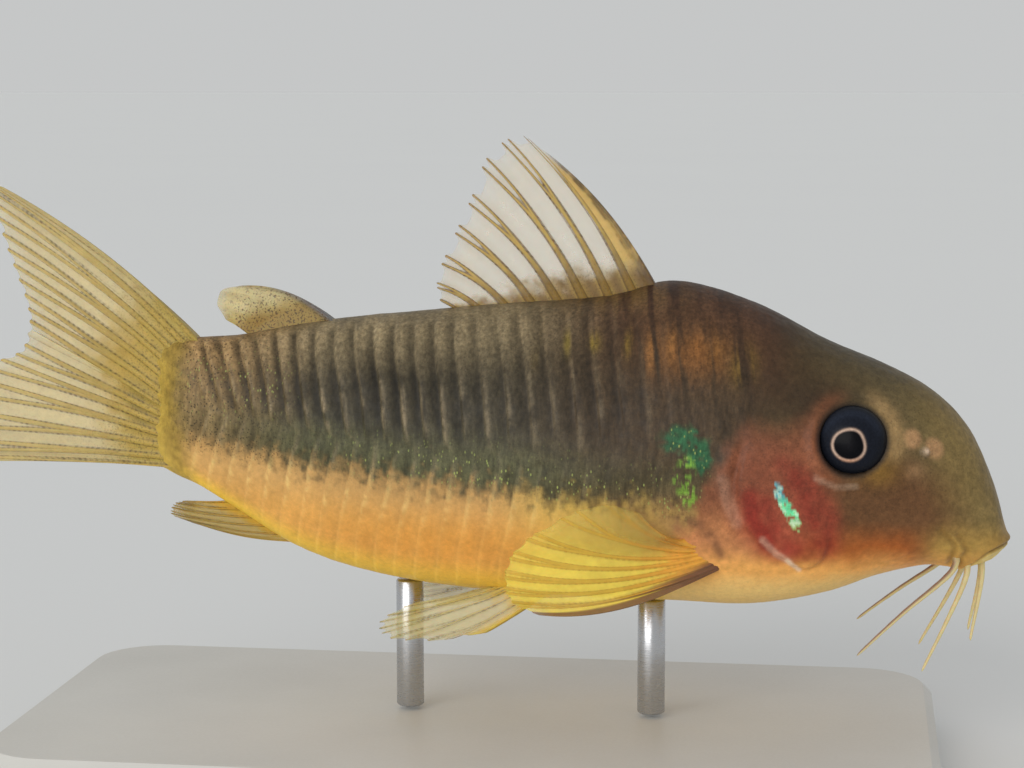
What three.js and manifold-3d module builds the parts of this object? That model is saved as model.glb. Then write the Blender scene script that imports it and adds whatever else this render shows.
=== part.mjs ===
// A corydoras catfish, life size, swimming towards +X with its back up, on a plain display stand.
// Millimetres. The origin is the centre of the stand's underside. Left is +Y and right is -Y.
// The fish is drawn straight, and swim() then bends every piece of it sideways.
import * as THREE from "three";
import { mergeVertices } from "three/addons/utils/BufferGeometryUtils.js";
import Module from "manifold-3d";

const wasm = await Module();
wasm.setup();

// Gaps between touching pieces
const GAP = 0.3;
const SEAM = 0.36;

// Cross-sections of the body from the tail root to the snout: heights of the back and the belly, half
// width, the widest level as a share of the height, and how square each half is (2 is an ellipse).
const SECTIONS = [
  { x: -22.0, back: 26.6, belly: 19.8, half: 0.55, widest: 0.5, upper: 2.0, lower: 2.0 },
  { x: -20.8, back: 27.6, belly: 19.1, half: 1.35, widest: 0.5, upper: 2.0, lower: 2.0 },
  { x: -18.6, back: 28.0, belly: 18.2, half: 2.1, widest: 0.5, upper: 2.0, lower: 2.0 },
  { x: -15.5, back: 28.25, belly: 16.35, half: 2.9, widest: 0.49, upper: 1.9, lower: 2.0 },
  { x: -12.0, back: 28.95, belly: 14.3, half: 3.9, widest: 0.48, upper: 1.85, lower: 2.05 },
  { x: -8.0, back: 29.5, belly: 12.95, half: 4.9, widest: 0.46, upper: 1.8, lower: 2.15 },
  { x: -3.0, back: 30.0, belly: 12.1, half: 5.9, widest: 0.44, upper: 1.8, lower: 2.3 },
  { x: 3.0, back: 30.6, belly: 11.7, half: 6.7, widest: 0.42, upper: 1.8, lower: 2.4 },
  { x: 8.5, back: 31.1, belly: 11.55, half: 7.1, widest: 0.41, upper: 1.8, lower: 2.45 },
  { x: 13.0, back: 32.05, belly: 11.5, half: 7.2, widest: 0.41, upper: 1.85, lower: 2.45 },
  { x: 18.0, back: 30.72, belly: 11.45, half: 7.0, widest: 0.42, upper: 2.0, lower: 2.4 },
  { x: 22.5, back: 28.45, belly: 12.25, half: 6.45, widest: 0.44, upper: 2.1, lower: 2.3 },
  { x: 26.2, back: 26.95, belly: 13.55, half: 5.6, widest: 0.45, upper: 2.15, lower: 2.2 },
  { x: 29.2, back: 25.35, belly: 14.2, half: 4.55, widest: 0.44, upper: 2.15, lower: 2.1 },
  { x: 31.5, back: 23.05, belly: 13.9, half: 3.45, widest: 0.42, upper: 2.1, lower: 2.1 },
  { x: 33.1, back: 19.7, belly: 14.4, half: 2.4, widest: 0.4, upper: 2.0, lower: 2.0 },
  { x: 33.9, back: 16.95, belly: 15.1, half: 1.3, widest: 0.4, upper: 2.0, lower: 2.0 },
  { x: 34.25, back: 16.0, belly: 15.5, half: 0.4, widest: 0.5, upper: 2.0, lower: 2.0 },
];
const RING_SIDES = 28;
const LATERAL_SIDE = 6;

// Armour: two rows of plates a side that meet in a forward-pointing V on the lateral line
const PLATES = 26;
const PLATES_ON_TORSO = 15;
const FRONT_PITCH = 1.54;
const REAR_PITCH = 1.17;
const PLATE_RISE = 0.2;
const PLATE_STEP = 0.12;
const LATERAL_LINE = Math.cos((LATERAL_SIDE / RING_SIDES) * 2 * Math.PI);
const LATERAL_GROOVE = { depth: 0.35, width: 0.14 };
const HEAD_SEAM = 14.3;
const APEX_FORWARD = 2.0;
const BACK_FORWARD = 0.6;

// Head seam: it follows the gill opening, from the nape down and forward to the throat
const NAPE_BACK = -1.6;
const THROAT_FORWARD = 5.2;
const SEAM_BLEND = 7;

// Eyes
const EYE = { x: 24.3, z: 22.75, radius: 2.3, depth: 1.55, sunk: 0.65, forward: 4, up: 6 };
const ORBIT_RIM = 0.34;

// Stand
const BASE = { length: 60, width: 32, height: 3.4, corner: 5, chamfer: 0.6 };
const ROD_RADIUS = 0.9;
const ROD_SPOTS = { front: 11.5, rear: -4.5 };

// Sideways bend of the swimming body, in millimetres at the snout and at the tail tip
const SWIM = { still: 4, snout: -0.6, tail: -1.5, headReach: 30, tailReach: 40 };

const mix = THREE.MathUtils.lerp;
const smooth = THREE.MathUtils.smoothstep;
const radians = THREE.MathUtils.degToRad;
const point = (x, y, z) => new THREE.Vector3(x, y, z);

// Solids in and out of manifold-3d

function solid(geometry) {
  const bare = geometry.clone();
  bare.deleteAttribute("normal");
  bare.deleteAttribute("uv");
  const merged = facingOut(mergeVertices(bare, 1e-4));
  return new wasm.Manifold(
    new wasm.Mesh({
      numProp: 3,
      vertProperties: new Float32Array(merged.attributes.position.array),
      triVerts: new Uint32Array(merged.index.array),
    }),
  );
}

// The largest closed surface of a solid, as a geometry.
function geometryOf(made) {
  const bodies = made.decompose();
  const largest = bodies.reduce((a, b) => (b.volume() > a.volume() ? b : a));
  const mesh = largest.getMesh();
  const geometry = new THREE.BufferGeometry();
  const positions = new Float32Array(mesh.numVert * 3);
  for (let i = 0; i < mesh.numVert; i += 1) {
    const from = i * mesh.numProp;
    positions.set(mesh.vertProperties.subarray(from, from + 3), i * 3);
  }
  geometry.setAttribute("position", new THREE.BufferAttribute(positions, 3));
  geometry.setIndex(new THREE.BufferAttribute(new Uint32Array(mesh.triVerts), 1));
  return geometry;
}

const union = (solids) => solids.reduce((a, b) => a.add(b));

// Body surface

// One value of the sections at place t, where t counts sections from the tail, by a Catmull-Rom spline.
function spline(key, t) {
  const last = SECTIONS.length - 1;
  const i = Math.min(Math.floor(t), last - 1);
  const f = t - i;
  const at = (k) => SECTIONS[THREE.MathUtils.clamp(k, 0, last)][key];
  const [a, b, c, d] = [at(i - 1), at(i), at(i + 1), at(i + 2)];
  const cubic = (3 * (b - c) + d - a) * f * f * f;
  const square = (2 * a - 5 * b + 4 * c - d) * f * f;
  return b + 0.5 * (cubic + square + (c - a) * f);
}

function sectionAt(x) {
  let low = 0;
  let high = SECTIONS.length - 1;
  for (let k = 0; k < 40; k += 1) {
    const middle = (low + high) / 2;
    if (spline("x", middle) < x) low = middle;
    else high = middle;
  }
  const section = {};
  for (const key of Object.keys(SECTIONS[0])) section[key] = spline(key, low);
  return section;
}

// The point of the surface at x and angle: 0 is the back, 90 degrees the left side, 180 the belly.
function surface(x, angle, outset = 0) {
  const s = sectionAt(x);
  const level = mix(s.belly, s.back, s.widest);
  const up = Math.cos(angle);
  const across = Math.sin(angle);
  const power = 2 / (up > 0 ? s.upper : s.lower);
  const reach = up > 0 ? s.back - level : level - s.belly;
  const y = (s.half + outset) * Math.sign(across) * Math.abs(across) ** power;
  const z = level + (reach + outset) * Math.sign(up) * Math.abs(up) ** power;
  return point(x, y, z);
}

// How far forward of its station a ring runs at an angle.
function ringShift(station, angle) {
  const up = Math.cos(angle);
  const round = Math.abs(Math.atan2(Math.sin(angle), up)) / Math.PI;
  const above = Math.max(0, (up - LATERAL_LINE) / (1 - LATERAL_LINE));
  const below = Math.max(0, (LATERAL_LINE - up) / (1 + LATERAL_LINE));
  const chevron = up > LATERAL_LINE
    ? mix(APEX_FORWARD, BACK_FORWARD, above ** 1.3)
    : mix(APEX_FORWARD, 0, below);
  const gillLine = mix(NAPE_BACK, THROAT_FORWARD, round ** 0.8);
  const plated = mix(gillLine, chevron, smooth(HEAD_SEAM - station, 0, SEAM_BLEND));
  return plated * (1 - smooth(station, HEAD_SEAM + 2, HEAD_SEAM + 14));
}

// How much of a plate's rise shows at an angle: none on the midlines, and a groove on the lateral line.
function plateShare(angle) {
  const up = Math.cos(angle);
  const groove = Math.min(1, Math.abs(up - LATERAL_LINE) / LATERAL_GROOVE.width);
  const ends = 1 - 0.75 * smooth(Math.abs(up), 0.9, 1);
  return mix(-LATERAL_GROOVE.depth, 1, groove) * ends;
}

function ring(station, rise, outset) {
  const points = [];
  for (let k = 0; k < RING_SIDES; k += 1) {
    const angle = (k / RING_SIDES) * 2 * Math.PI;
    const x = Math.max(station + ringShift(station, angle), SECTIONS[0].x);
    points.push(surface(x, angle, outset + rise * plateShare(angle)));
  }
  return points;
}

// A closed solid through rings of equal count, with a fan at each end.
function loft(rings) {
  const sides = rings[0].length;
  const positions = rings.flat().flatMap((p) => [p.x, p.y, p.z]);
  const triangles = [];
  for (let r = 0; r + 1 < rings.length; r += 1) {
    for (let k = 0; k < sides; k += 1) {
      const next = (k + 1) % sides;
      const [a, b] = [r * sides + k, r * sides + next];
      triangles.push(a, a + sides, b, b, a + sides, b + sides);
    }
  }
  for (const [r, turned] of [[0, false], [rings.length - 1, true]]) {
    const centre = rings[r].reduce((sum, p) => sum.add(p), point(0, 0, 0)).divideScalar(sides);
    const hub = positions.length / 3;
    positions.push(centre.x, centre.y, centre.z);
    for (let k = 0; k < sides; k += 1) {
      const [a, b] = [r * sides + k, r * sides + ((k + 1) % sides)];
      triangles.push(...(turned ? [hub, b, a] : [hub, a, b]));
    }
  }
  const geometry = new THREE.BufferGeometry();
  geometry.setAttribute("position", new THREE.Float32BufferAttribute(positions, 3));
  geometry.setIndex(triangles);
  return geometry;
}

// Rear edges of the plates, from the head seam to the tail root.
const plateEdges = [HEAD_SEAM];
for (let k = 0; k < PLATES; k += 1) {
  const pitch = mix(FRONT_PITCH, REAR_PITCH, k / (PLATES - 1));
  plateEdges.push(plateEdges[k] - pitch);
}

const HEAD_STATIONS = [
  HEAD_SEAM, 15.6, 17.0, 18.5, 20.0, 21.5, 23.0, 24.4, 25.8, 27.2, 28.6, 29.8, 30.9, 31.8, 32.5, 33.1, 33.6,
  33.95, 34.25,
];

function headRings(outset) {
  return HEAD_STATIONS.map((station) => ring(station, 0, outset));
}

function platedRings(first, last, outset) {
  const rings = [ring(plateEdges[first], 0, outset)];
  for (let k = first; k < last; k += 1) {
    if (k > first) rings.push(ring(plateEdges[k] - PLATE_STEP, 0, outset));
    rings.push(ring(plateEdges[k + 1], PLATE_RISE, outset));
  }
  return rings;
}

// Rings of the tail root behind the last plate, closing to the thin edge that carries the tail fin.
function tailEndRings(outset) {
  const lastEdge = plateEdges[PLATES];
  return [lastEdge - PLATE_STEP, lastEdge - 1.6, lastEdge - 3.2].map((station) => ring(station, 0, outset));
}

// The whole body in one closed solid, grown by outset, to cut what meets it.
function wholeBody(outset) {
  const rings = [...headRings(outset).reverse(), ...platedRings(0, PLATES, outset).slice(1)];
  rings.push(...tailEndRings(outset));
  return solid(loft(rings));
}

function shifted(rings, dx) {
  return rings.map((r) => r.map((p) => p.clone().setX(p.x + dx)));
}

function torsoLoft() {
  const rings = platedRings(0, PLATES_ON_TORSO, 0);
  rings[0] = shifted([rings[0]], -SEAM)[0];
  return loft(rings);
}

function tailLoft() {
  const rings = platedRings(PLATES_ON_TORSO, PLATES, 0);
  rings[0] = shifted([ring(plateEdges[PLATES_ON_TORSO], PLATE_RISE, 0)], -SEAM)[0];
  rings.push(...tailEndRings(0));
  return loft(rings);
}

// Small shapes for the head

// A tube along a curve whose radius goes from the first to the last given radius.
function taperedTube(curve, steps, sides, radiusAt) {
  const frames = curve.computeFrenetFrames(steps, false);
  const rings = [];
  for (let i = 0; i <= steps; i += 1) {
    const t = i / steps;
    const centre = curve.getPointAt(t);
    const circle = [];
    for (let k = 0; k < sides; k += 1) {
      const angle = (k / sides) * 2 * Math.PI;
      const out = frames.normals[i].clone().multiplyScalar(Math.cos(angle) * radiusAt(t));
      out.addScaledVector(frames.binormals[i], Math.sin(angle) * radiusAt(t));
      circle.push(centre.clone().add(out));
    }
    rings.push(circle);
  }
  return solid(loft(rings));
}

// Turns a closed geometry's triangles round if they face inwards.
function facingOut(geometry) {
  const p = geometry.attributes.position;
  const order = geometry.index.array;
  const [a, b, c] = [point(0, 0, 0), point(0, 0, 0), point(0, 0, 0)];
  let volume = 0;
  for (let i = 0; i < order.length; i += 3) {
    a.fromBufferAttribute(p, order[i]);
    b.fromBufferAttribute(p, order[i + 1]);
    c.fromBufferAttribute(p, order[i + 2]);
    volume += a.dot(b.cross(c));
  }
  if (volume >= 0) return geometry;
  for (let i = 0; i < order.length; i += 3) [order[i], order[i + 1]] = [order[i + 1], order[i]];
  return geometry;
}

const ball = (radius, across, up) => new THREE.SphereGeometry(radius, across, up);

// Places a geometry whose own +Z is to point along axis at a spot.
function placed(geometry, spot, axis) {
  const turn = new THREE.Quaternion().setFromUnitVectors(point(0, 0, 1), axis);
  return geometry.clone().applyQuaternion(turn).translate(spot.x, spot.y, spot.z);
}

function eyeAxis(side) {
  const [forward, up] = [radians(EYE.forward), radians(EYE.up)];
  return point(Math.sin(forward), side * Math.cos(forward), Math.sin(up)).normalize();
}

// The point of the body's side at a place and height.
function flank(x, z, side) {
  const s = sectionAt(x);
  const level = mix(s.belly, s.back, s.widest);
  const above = z > level;
  const share = Math.abs(z - level) / (above ? s.back - level : level - s.belly);
  const power = above ? s.upper : s.lower;
  const out = s.half * (1 - Math.min(share, 1) ** power) ** (1 / power);
  return point(x, side * out, z);
}

const eyeSpot = (side) => flank(EYE.x, EYE.z, side).addScaledVector(eyeAxis(side), -EYE.sunk);

function eyeShape(side, grown, across, up) {
  const shape = ball(1, across, up).rotateX(Math.PI / 2);
  const flat = EYE.radius + grown;
  shape.scale(flat, flat, EYE.depth + grown);
  return solid(placed(shape, eyeSpot(side), eyeAxis(side)));
}

function orbitRim(side) {
  const rim = new THREE.TorusGeometry(EYE.radius + 0.42, ORBIT_RIM, 5, 20);
  const spot = flank(EYE.x, EYE.z, side).addScaledVector(eyeAxis(side), -0.12);
  return solid(placed(rim, spot, eyeAxis(side)));
}

// Nostrils: a rear and a front pit each side, with a low rim and a skin flap between them
const NOSTRILS = [
  { x: 28.0, z: 22.7, radius: 0.6 },
  { x: 29.35, z: 22.1, radius: 0.55 },
];
const NOSTRIL_FLAP = { x: 28.7, z: 22.1, height: 0.75, radius: 0.45 };

function nostrilRims(side) {
  return NOSTRILS.map(({ x, z, radius }) => {
    const spot = flank(x, z, side);
    const axis = point(0.35, side, 0.35).normalize();
    return solid(placed(new THREE.TorusGeometry(radius, 0.2, 4, 10), spot, axis));
  });
}

function nostrilPits(side) {
  return NOSTRILS.map(({ x, z, radius }) => {
    const spot = flank(x, z, side);
    return solid(placed(ball(radius * 0.8, 8, 5), spot, point(0, side, 0)));
  });
}

function nostrilFlap(side) {
  const { x, z, height, radius } = NOSTRIL_FLAP;
  const axis = point(0.5, side, 0.4).normalize();
  const flap = new THREE.CylinderGeometry(0.18, radius, height, 8).rotateX(Math.PI / 2);
  flap.scale(0.6, 1, 1);
  const spot = flank(x, z, side).addScaledVector(axis, height * 0.25);
  return solid(placed(flap, spot, axis));
}

// Mouth: an arched upper lip, a shorter lower lip behind it, and the groove between them
const MOUTH = {
  upperLip: { front: [33.95, 0, 15.45], side: [32.75, 1.7, 14.85], corner: [30.7, 2.75, 14.25], radius: 0.42 },
  groove: { front: [33.5, 0, 14.85], side: [32.4, 1.6, 14.35], corner: [30.6, 2.5, 13.95], radius: 0.24 },
  lowerLip: { front: [33.0, 0, 14.4], side: [32.0, 1.45, 14.05], corner: [30.4, 2.2, 13.9], radius: 0.46 },
};

function mouthArc({ front, side, corner, radius }) {
  const across = ([x, y, z], sign) => point(x, sign * y, z);
  const arc = new THREE.CatmullRomCurve3([
    across(corner, -1),
    across(side, -1),
    across(front, 1),
    across(side, 1),
    across(corner, 1),
  ]);
  return taperedTube(arc, 12, 6, (t) => radius * (0.7 + 0.3 * Math.sin(Math.PI * t)));
}

// Gill covers: curved plates let into the sides of the head
const GILL = { proud: 0.26, inside: 0.6 };
const GILL_OUTLINE = [
  [18.3, 22.9], [17.5, 21.4], [17.3, 19.7], [17.6, 17.7], [18.8, 16.4], [20.0, 15.5], [21.4, 14.7], [22.5, 15.4],
  [22.9, 17.3], [22.5, 19.2], [21.4, 20.9], [20.2, 22.4],
];

function gillRegion(side, grown) {
  const corners = GILL_OUTLINE.map(([x, z]) => point(x, z, 0));
  const middle = corners.reduce((sum, p) => sum.add(p), point(0, 0, 0)).divideScalar(corners.length);
  for (const corner of corners) corner.addScaledVector(corner.clone().sub(middle).normalize(), grown);
  const curve = new THREE.CatmullRomCurve3(corners, true);
  const outline = new THREE.Shape(curve.getPoints(24).slice(1).map((p) => new THREE.Vector2(p.x, p.y)));
  const prism = new THREE.ExtrudeGeometry(outline, { depth: 9, bevelEnabled: false });
  prism.rotateX(Math.PI / 2);
  prism.translate(0, side > 0 ? 11 : -2, 0);
  return solid(prism);
}

function headSolid(outset) {
  return solid(loft(headRings(outset).reverse()));
}

function gillCover(side) {
  const shell = headSolid(GILL.proud).subtract(headSolid(-GILL.inside));
  return shell.intersect(gillRegion(side, 0));
}

function gillPocket(side) {
  const shell = headSolid(1.2).subtract(headSolid(-GILL.inside - GAP));
  return shell.intersect(gillRegion(side, GAP));
}

// Barbels: three pairs round the mouth. Each starts from a short stub on the lip
const BARBELS = {
  upper: { root: [30.4, 2.8, 14.1], bend: [27.6, 4.0, 11.7], tip: [24.8, 5.2, 9.2], radius: 0.33 },
  lower: { root: [31.4, 2.1, 13.6], bend: [30.3, 2.9, 10.9], tip: [28.85, 3.7, 8.0], radius: 0.31 },
  chin: { root: [32.5, 0.9, 13.6], bend: [32.3, 1.2, 11.7], tip: [31.9, 1.5, 9.6], radius: 0.29 },
};
const BARBEL_TIP = 0.12;
const BARBEL_STUB = 0.9;
const BARBEL_ROOT_SUNK = 0.6;

function barbelCurve({ root, bend, tip }, side) {
  const [start, middle, end] = [root, bend, tip].map(([x, y, z]) => point(x, side * y, z));
  const into = start.clone().sub(middle).normalize().multiplyScalar(BARBEL_ROOT_SUNK);
  return new THREE.CatmullRomCurve3([start.clone().add(into), start, middle, end]);
}

// The part of a barbel between two distances from the start of its curve.
function barbelPiece(kind, side, from, to, steps) {
  const curve = barbelCurve(kind, side);
  const length = curve.getLength();
  const [low, high] = [from / length, Math.min(to / length, 1)];
  const points = [];
  for (let i = 0; i <= steps; i += 1) points.push(curve.getPointAt(mix(low, high, i / steps)));
  const radiusAt = (t) => mix(kind.radius, BARBEL_TIP, mix(low, high, t) ** 1.6);
  return taperedTube(new THREE.CatmullRomCurve3(points), steps, 6, radiusAt);
}

const barbelStub = (kind, side) => barbelPiece(kind, side, 0, BARBEL_ROOT_SUNK + BARBEL_STUB, 3);
const barbel = (kind, side) => barbelPiece(kind, side, BARBEL_ROOT_SUNK + BARBEL_STUB + GAP, Infinity, 7);

function head() {
  const parts = [headSolid(0), mouthArc(MOUTH.upperLip), mouthArc(MOUTH.lowerLip)];
  for (const side of [-1, 1]) {
    parts.push(orbitRim(side), ...nostrilRims(side));
  }
  let made = union(parts).subtract(mouthArc(MOUTH.groove));
  for (const side of [-1, 1]) {
    made = made.subtract(eyeShape(side, GAP, 20, 9));
    made = made.subtract(gillPocket(side));
    for (const pit of nostrilPits(side)) made = made.subtract(pit);
    made = made.add(nostrilFlap(side));
    for (const kind of Object.values(BARBELS)) made = made.add(barbelStub(kind, side));
  }
  return made;
}

// Fins: a membrane between a root line and a tip line, with a ridge along each ray

const MEMBRANE = 0.5;
const RAY_RIDGE = 0.46;
const TIP_THICKNESS = 0.3;
const RAY_HALF = { root: 0.2, tip: 0.36 };
const BRANCH_START = 0.4;
const BRANCH_END = 0.8;

// Columns of a fin: where each crosses the rays, how high its ridge is and how far out it reaches.
function finColumns(rays, notch, branched, spine) {
  const offsets = branched ? [-1, -0.5, 0, 0.5, 1] : [-1, 0, 1];
  const columns = [];
  for (let ray = 0; ray < rays; ray += 1) {
    for (const offset of offsets) {
      if (ray === 0 && offset < 0) continue;
      if (ray === rays - 1 && offset > 0) continue;
      const edge = Math.abs(offset) === 1;
      const reach = edge ? 1 - notch : offset === 0 && branched ? 1 - notch / 2 : 1;
      const stout = ray === 0 ? spine : 1;
      columns.push({ ray, offset, edge, reach, stout, middle: branched && offset === 0 });
    }
  }
  return columns;
}

// A closed slab over a grid of columns and rows, with the same diagonals on both faces.
function slab(columns, rows, at) {
  const positions = [];
  const triangles = [];
  const high = rows + 1;
  const index = (face, c, r) => (face * columns + c) * high + r;
  for (let face = 0; face < 2; face += 1) {
    for (let c = 0; c < columns; c += 1) {
      for (let r = 0; r < high; r += 1) positions.push(...at(c, r, face ? 1 : -1).toArray());
    }
  }
  const quad = (a, b, c, d) => triangles.push(a, b, c, a, c, d);
  for (let c = 0; c + 1 < columns; c += 1) {
    for (let r = 0; r < rows; r += 1) {
      quad(index(0, c, r), index(0, c + 1, r), index(0, c + 1, r + 1), index(0, c, r + 1));
      const [a, b] = [index(1, c, r), index(1, c + 1, r)];
      const [d, e] = [index(1, c, r + 1), index(1, c + 1, r + 1)];
      triangles.push(a, e, b, a, d, e);
    }
    quad(index(0, c, 0), index(1, c, 0), index(1, c + 1, 0), index(0, c + 1, 0));
    quad(index(0, c, rows), index(0, c + 1, rows), index(1, c + 1, rows), index(1, c, rows));
  }
  for (let r = 0; r < rows; r += 1) {
    const last = columns - 1;
    quad(index(0, 0, r), index(0, 0, r + 1), index(1, 0, r + 1), index(1, 0, r));
    quad(index(0, last, r), index(1, last, r), index(1, last, r + 1), index(0, last, r + 1));
  }
  const geometry = new THREE.BufferGeometry();
  geometry.setAttribute("position", new THREE.Float32BufferAttribute(positions, 3));
  geometry.setIndex(triangles);
  return geometry;
}

// A point of a fin's middle surface: u runs along the root from front to rear, v from root to tip.
function finPoint(fin, u, v) {
  const root = fin.rootCurve.getPoint(u);
  const tip = fin.tipCurve.getPoint(u);
  const p = root.clone().lerp(tip, v);
  const bow = 4 * v * (1 - v) * mix(...fin.bow, u);
  return p.addScaledVector(fin.bowAxis, bow);
}

function finSolid(fin) {
  const spacing = 1 / (fin.rays - 1);
  const columns = finColumns(fin.rays, fin.notch, fin.branched, fin.spine ?? 1);
  const side = 1e-3;
  const at = (c, r, face) => {
    const { ray, offset, edge, reach, stout, middle } = columns[c];
    const v = (r / fin.rows) * reach;
    const forked = fin.branched ? smooth(v, BRANCH_START, BRANCH_END) : 0;
    const u = THREE.MathUtils.clamp((ray + offset * mix(RAY_HALF.root, RAY_HALF.tip, forked)) * spacing, 0, 1);
    const p = finPoint(fin, u, v);
    const alongU = finPoint(fin, Math.min(u + side, 1), v).sub(finPoint(fin, Math.max(u - side, 0), v));
    const alongV = finPoint(fin, u, v + side).sub(finPoint(fin, u, v - side));
    const normal = alongU.cross(alongV).normalize();
    const ridge = edge ? 0 : RAY_RIDGE * stout * (1 - 0.55 * v) * (middle ? 1 - forked : 1);
    const full = MEMBRANE + ridge;
    const thickness = mix(full, TIP_THICKNESS, smooth(v, 0.88, 1));
    return p.addScaledVector(normal, (face * thickness) / 2);
  };
  return solid(slab(columns.length, fin.rows, at));
}

function fin(settings) {
  const toPoints = (list) => list.map(([x, y, z]) => point(x, y, z));
  const tips = toPoints(settings.tips);
  return {
    ...settings,
    rootCurve: new THREE.LineCurve3(...toPoints(settings.root)),
    tipCurve: new THREE.CatmullRomCurve3(tips, false, "centripetal"),
    bowAxis: point(...(settings.bowAxis ?? [0, 0, 1])),
  };
}

// Fins on the midline. Roots start inside the body and run from front to rear
const DORSAL = {
  root: [[12.2, 0, 30.6], [-0.6, 0, 29.2]],
  tips: [
    [4.3, 0, 40.4], [2.8, 0, 41.3], [0.9, 0, 40.2], [-0.4, 0, 37.2], [-1.6, 0, 34.6], [-2.6, 0, 32.0],
    [-2.4, 0, 30.5],
  ],
  rays: 9, rows: 5, notch: 0.07, branched: true, spine: 1.7, bow: [0.8, 0.2], bowAxis: [0.6, 0, 0.8],
};
const TAIL_UPPER = {
  root: [[-17.6, 0, 27.0], [-20.6, 0, 23.5]],
  tips: [
    [-31.6, 0, 38.0], [-32.8, 0, 38.2], [-32.0, 0, 36.3], [-31.3, 0, 34.2], [-30.6, 0, 32.2], [-30.0, 0, 30.2],
    [-29.8, 0, 28.8],
  ],
  rays: 7, rows: 5, notch: 0.03, branched: true, spine: 1.2, bow: [0.75, 0], bowAxis: [0.5, 0, 0.85],
};
const TAIL_LOWER = {
  root: [[-20.6, 0, 23.1], [-19.0, 0, 19.3]],
  tips: [
    [-29.8, 0, 28.3], [-30.4, 0, 27.1], [-32.3, 0, 26.2], [-34.4, 0, 24.8], [-36.0, 0, 22.6], [-36.6, 0, 20.6],
    [-35.2, 0, 19.5],
  ],
  rays: 7, rows: 5, notch: 0.03, branched: true, spine: 1.2, bow: [0, 0.2], bowAxis: [0, 0, 1],
};
const ANAL = {
  root: [[-10.6, 0, 14.6], [-16.2, 0, 17.2]],
  tips: [[-19.4, 0, 15.7], [-20.5, 0, 16.2], [-20.4, 0, 16.8], [-19.6, 0, 17.1]],
  rays: 6, rows: 5, notch: 0.03, branched: false, spine: 1.3, bow: [0.5, 0.1], bowAxis: [0, 0, -1],
};
const ADIPOSE = {
  root: [[-8.9, 0, 28.8], [-14.4, 0, 27.6]],
  tips: [[-15.6, 0, 31.45], [-16.9, 0, 31.1], [-17.2, 0, 30.2], [-16.6, 0, 29.2]],
  rays: 4, rows: 5, notch: 0.02, branched: false, spine: 1.6, bow: [0.8, 0.1], bowAxis: [0, 0, 1],
};

// Paired fins, given for the left side
const PECTORAL = {
  root: [[16.0, 5.5, 14.5], [15.0, 5.9, 16.4]],
  tips: [
    [5.3, 10.2, 12.2], [3.6, 10.3, 13.1], [3.2, 10.1, 14.3], [3.6, 9.6, 15.8], [5.3, 9.1, 17.3], [9.0, 8.6, 18.9],
    [11.4, 8.2, 18.4],
  ],
  rays: 9, rows: 5, notch: 0.04, branched: false, spine: 1.9, bow: [1.2, 1.0], bowAxis: [0, 0.7, -0.7],
};
const PELVIC = {
  root: [[5.7, 3.7, 12.9], [3.6, 2.7, 12.9]],
  tips: [[0.9, 5.6, 10.0], [-2.3, 5.8, 9.3], [-5.2, 5.4, 9.5], [-5.6, 5.0, 10.3], [-3.7, 4.2, 11.4]],
  rays: 6, rows: 5, notch: 0.04, branched: false, spine: 1.3, bow: [0.4, 0.1], bowAxis: [0, 0, -1],
};

function mirrored(settings) {
  const flip = (list) => list.map(([x, y, z]) => [x, -y, z]);
  const [bowAxis] = flip([settings.bowAxis]);
  return { ...settings, root: flip(settings.root), tips: flip(settings.tips), bowAxis };
}

// Stand

function standBase() {
  const { length, width, height, corner, chamfer } = BASE;
  const [half, deep] = [length / 2 - chamfer, width / 2 - chamfer];
  const round = corner - chamfer;
  const outline = new THREE.Shape();
  outline.moveTo(-half + round, -deep);
  outline.lineTo(half - round, -deep);
  outline.absarc(half - round, -deep + round, round, -Math.PI / 2, 0);
  outline.absarc(half - round, deep - round, round, 0, Math.PI / 2);
  outline.absarc(-half + round, deep - round, round, Math.PI / 2, Math.PI);
  outline.absarc(-half + round, -deep + round, round, Math.PI, 1.5 * Math.PI);
  const plate = new THREE.ExtrudeGeometry(outline, {
    depth: height - 2 * chamfer,
    bevelThickness: chamfer,
    bevelSize: chamfer,
    bevelSegments: 1,
    curveSegments: 4,
  });
  return solid(plate.translate(0, 0, chamfer));
}

function standRod(x, body) {
  const bottom = BASE.height + GAP;
  const top = sectionAt(x).belly + 2;
  const rod = new THREE.CylinderGeometry(ROD_RADIUS, ROD_RADIUS, top - bottom, 16);
  rod.rotateX(Math.PI / 2);
  rod.translate(x, 0, (top + bottom) / 2);
  return solid(rod).subtract(body);
}

// The sideways bend of the body at a place along it.
function swimOffset(x) {
  const ahead = Math.max(0, (x - SWIM.still) / SWIM.headReach);
  const behind = Math.max(0, (SWIM.still - x) / SWIM.tailReach);
  return SWIM.snout * ahead ** 2 + SWIM.tail * behind ** 2;
}

function swim(geometry) {
  const p = geometry.attributes.position;
  for (let i = 0; i < p.count; i += 1) p.setY(i, p.getY(i) + swimOffset(p.getX(i)));
  return geometry;
}

// Colours
const COLOURS = {
  flank: { color: 0x4a4436, roughness: 0.45 },
  head: { color: 0x6d5a3f, roughness: 0.45 },
  gill: { color: 0xa5553b, roughness: 0.4 },
  eye: { color: 0x16161c, roughness: 0.1 },
  fin: { color: 0xd9c27e, roughness: 0.5 },
  barbel: { color: 0xc9a56a, roughness: 0.5 },
  base: { color: 0xd8d5cf, roughness: 0.4 },
  rod: { color: 0xb4b4b8, roughness: 0.3, metalness: 0.9 },
};

const fish = new THREE.Group();

function addPiece(name, made, colour) {
  const mesh = new THREE.Mesh(made, new THREE.MeshStandardMaterial(COLOURS[colour]));
  mesh.name = name;
  fish.add(mesh);
}

const addFlesh = (name, made, colour) => addPiece(name, swim(geometryOf(made)), colour);

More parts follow.
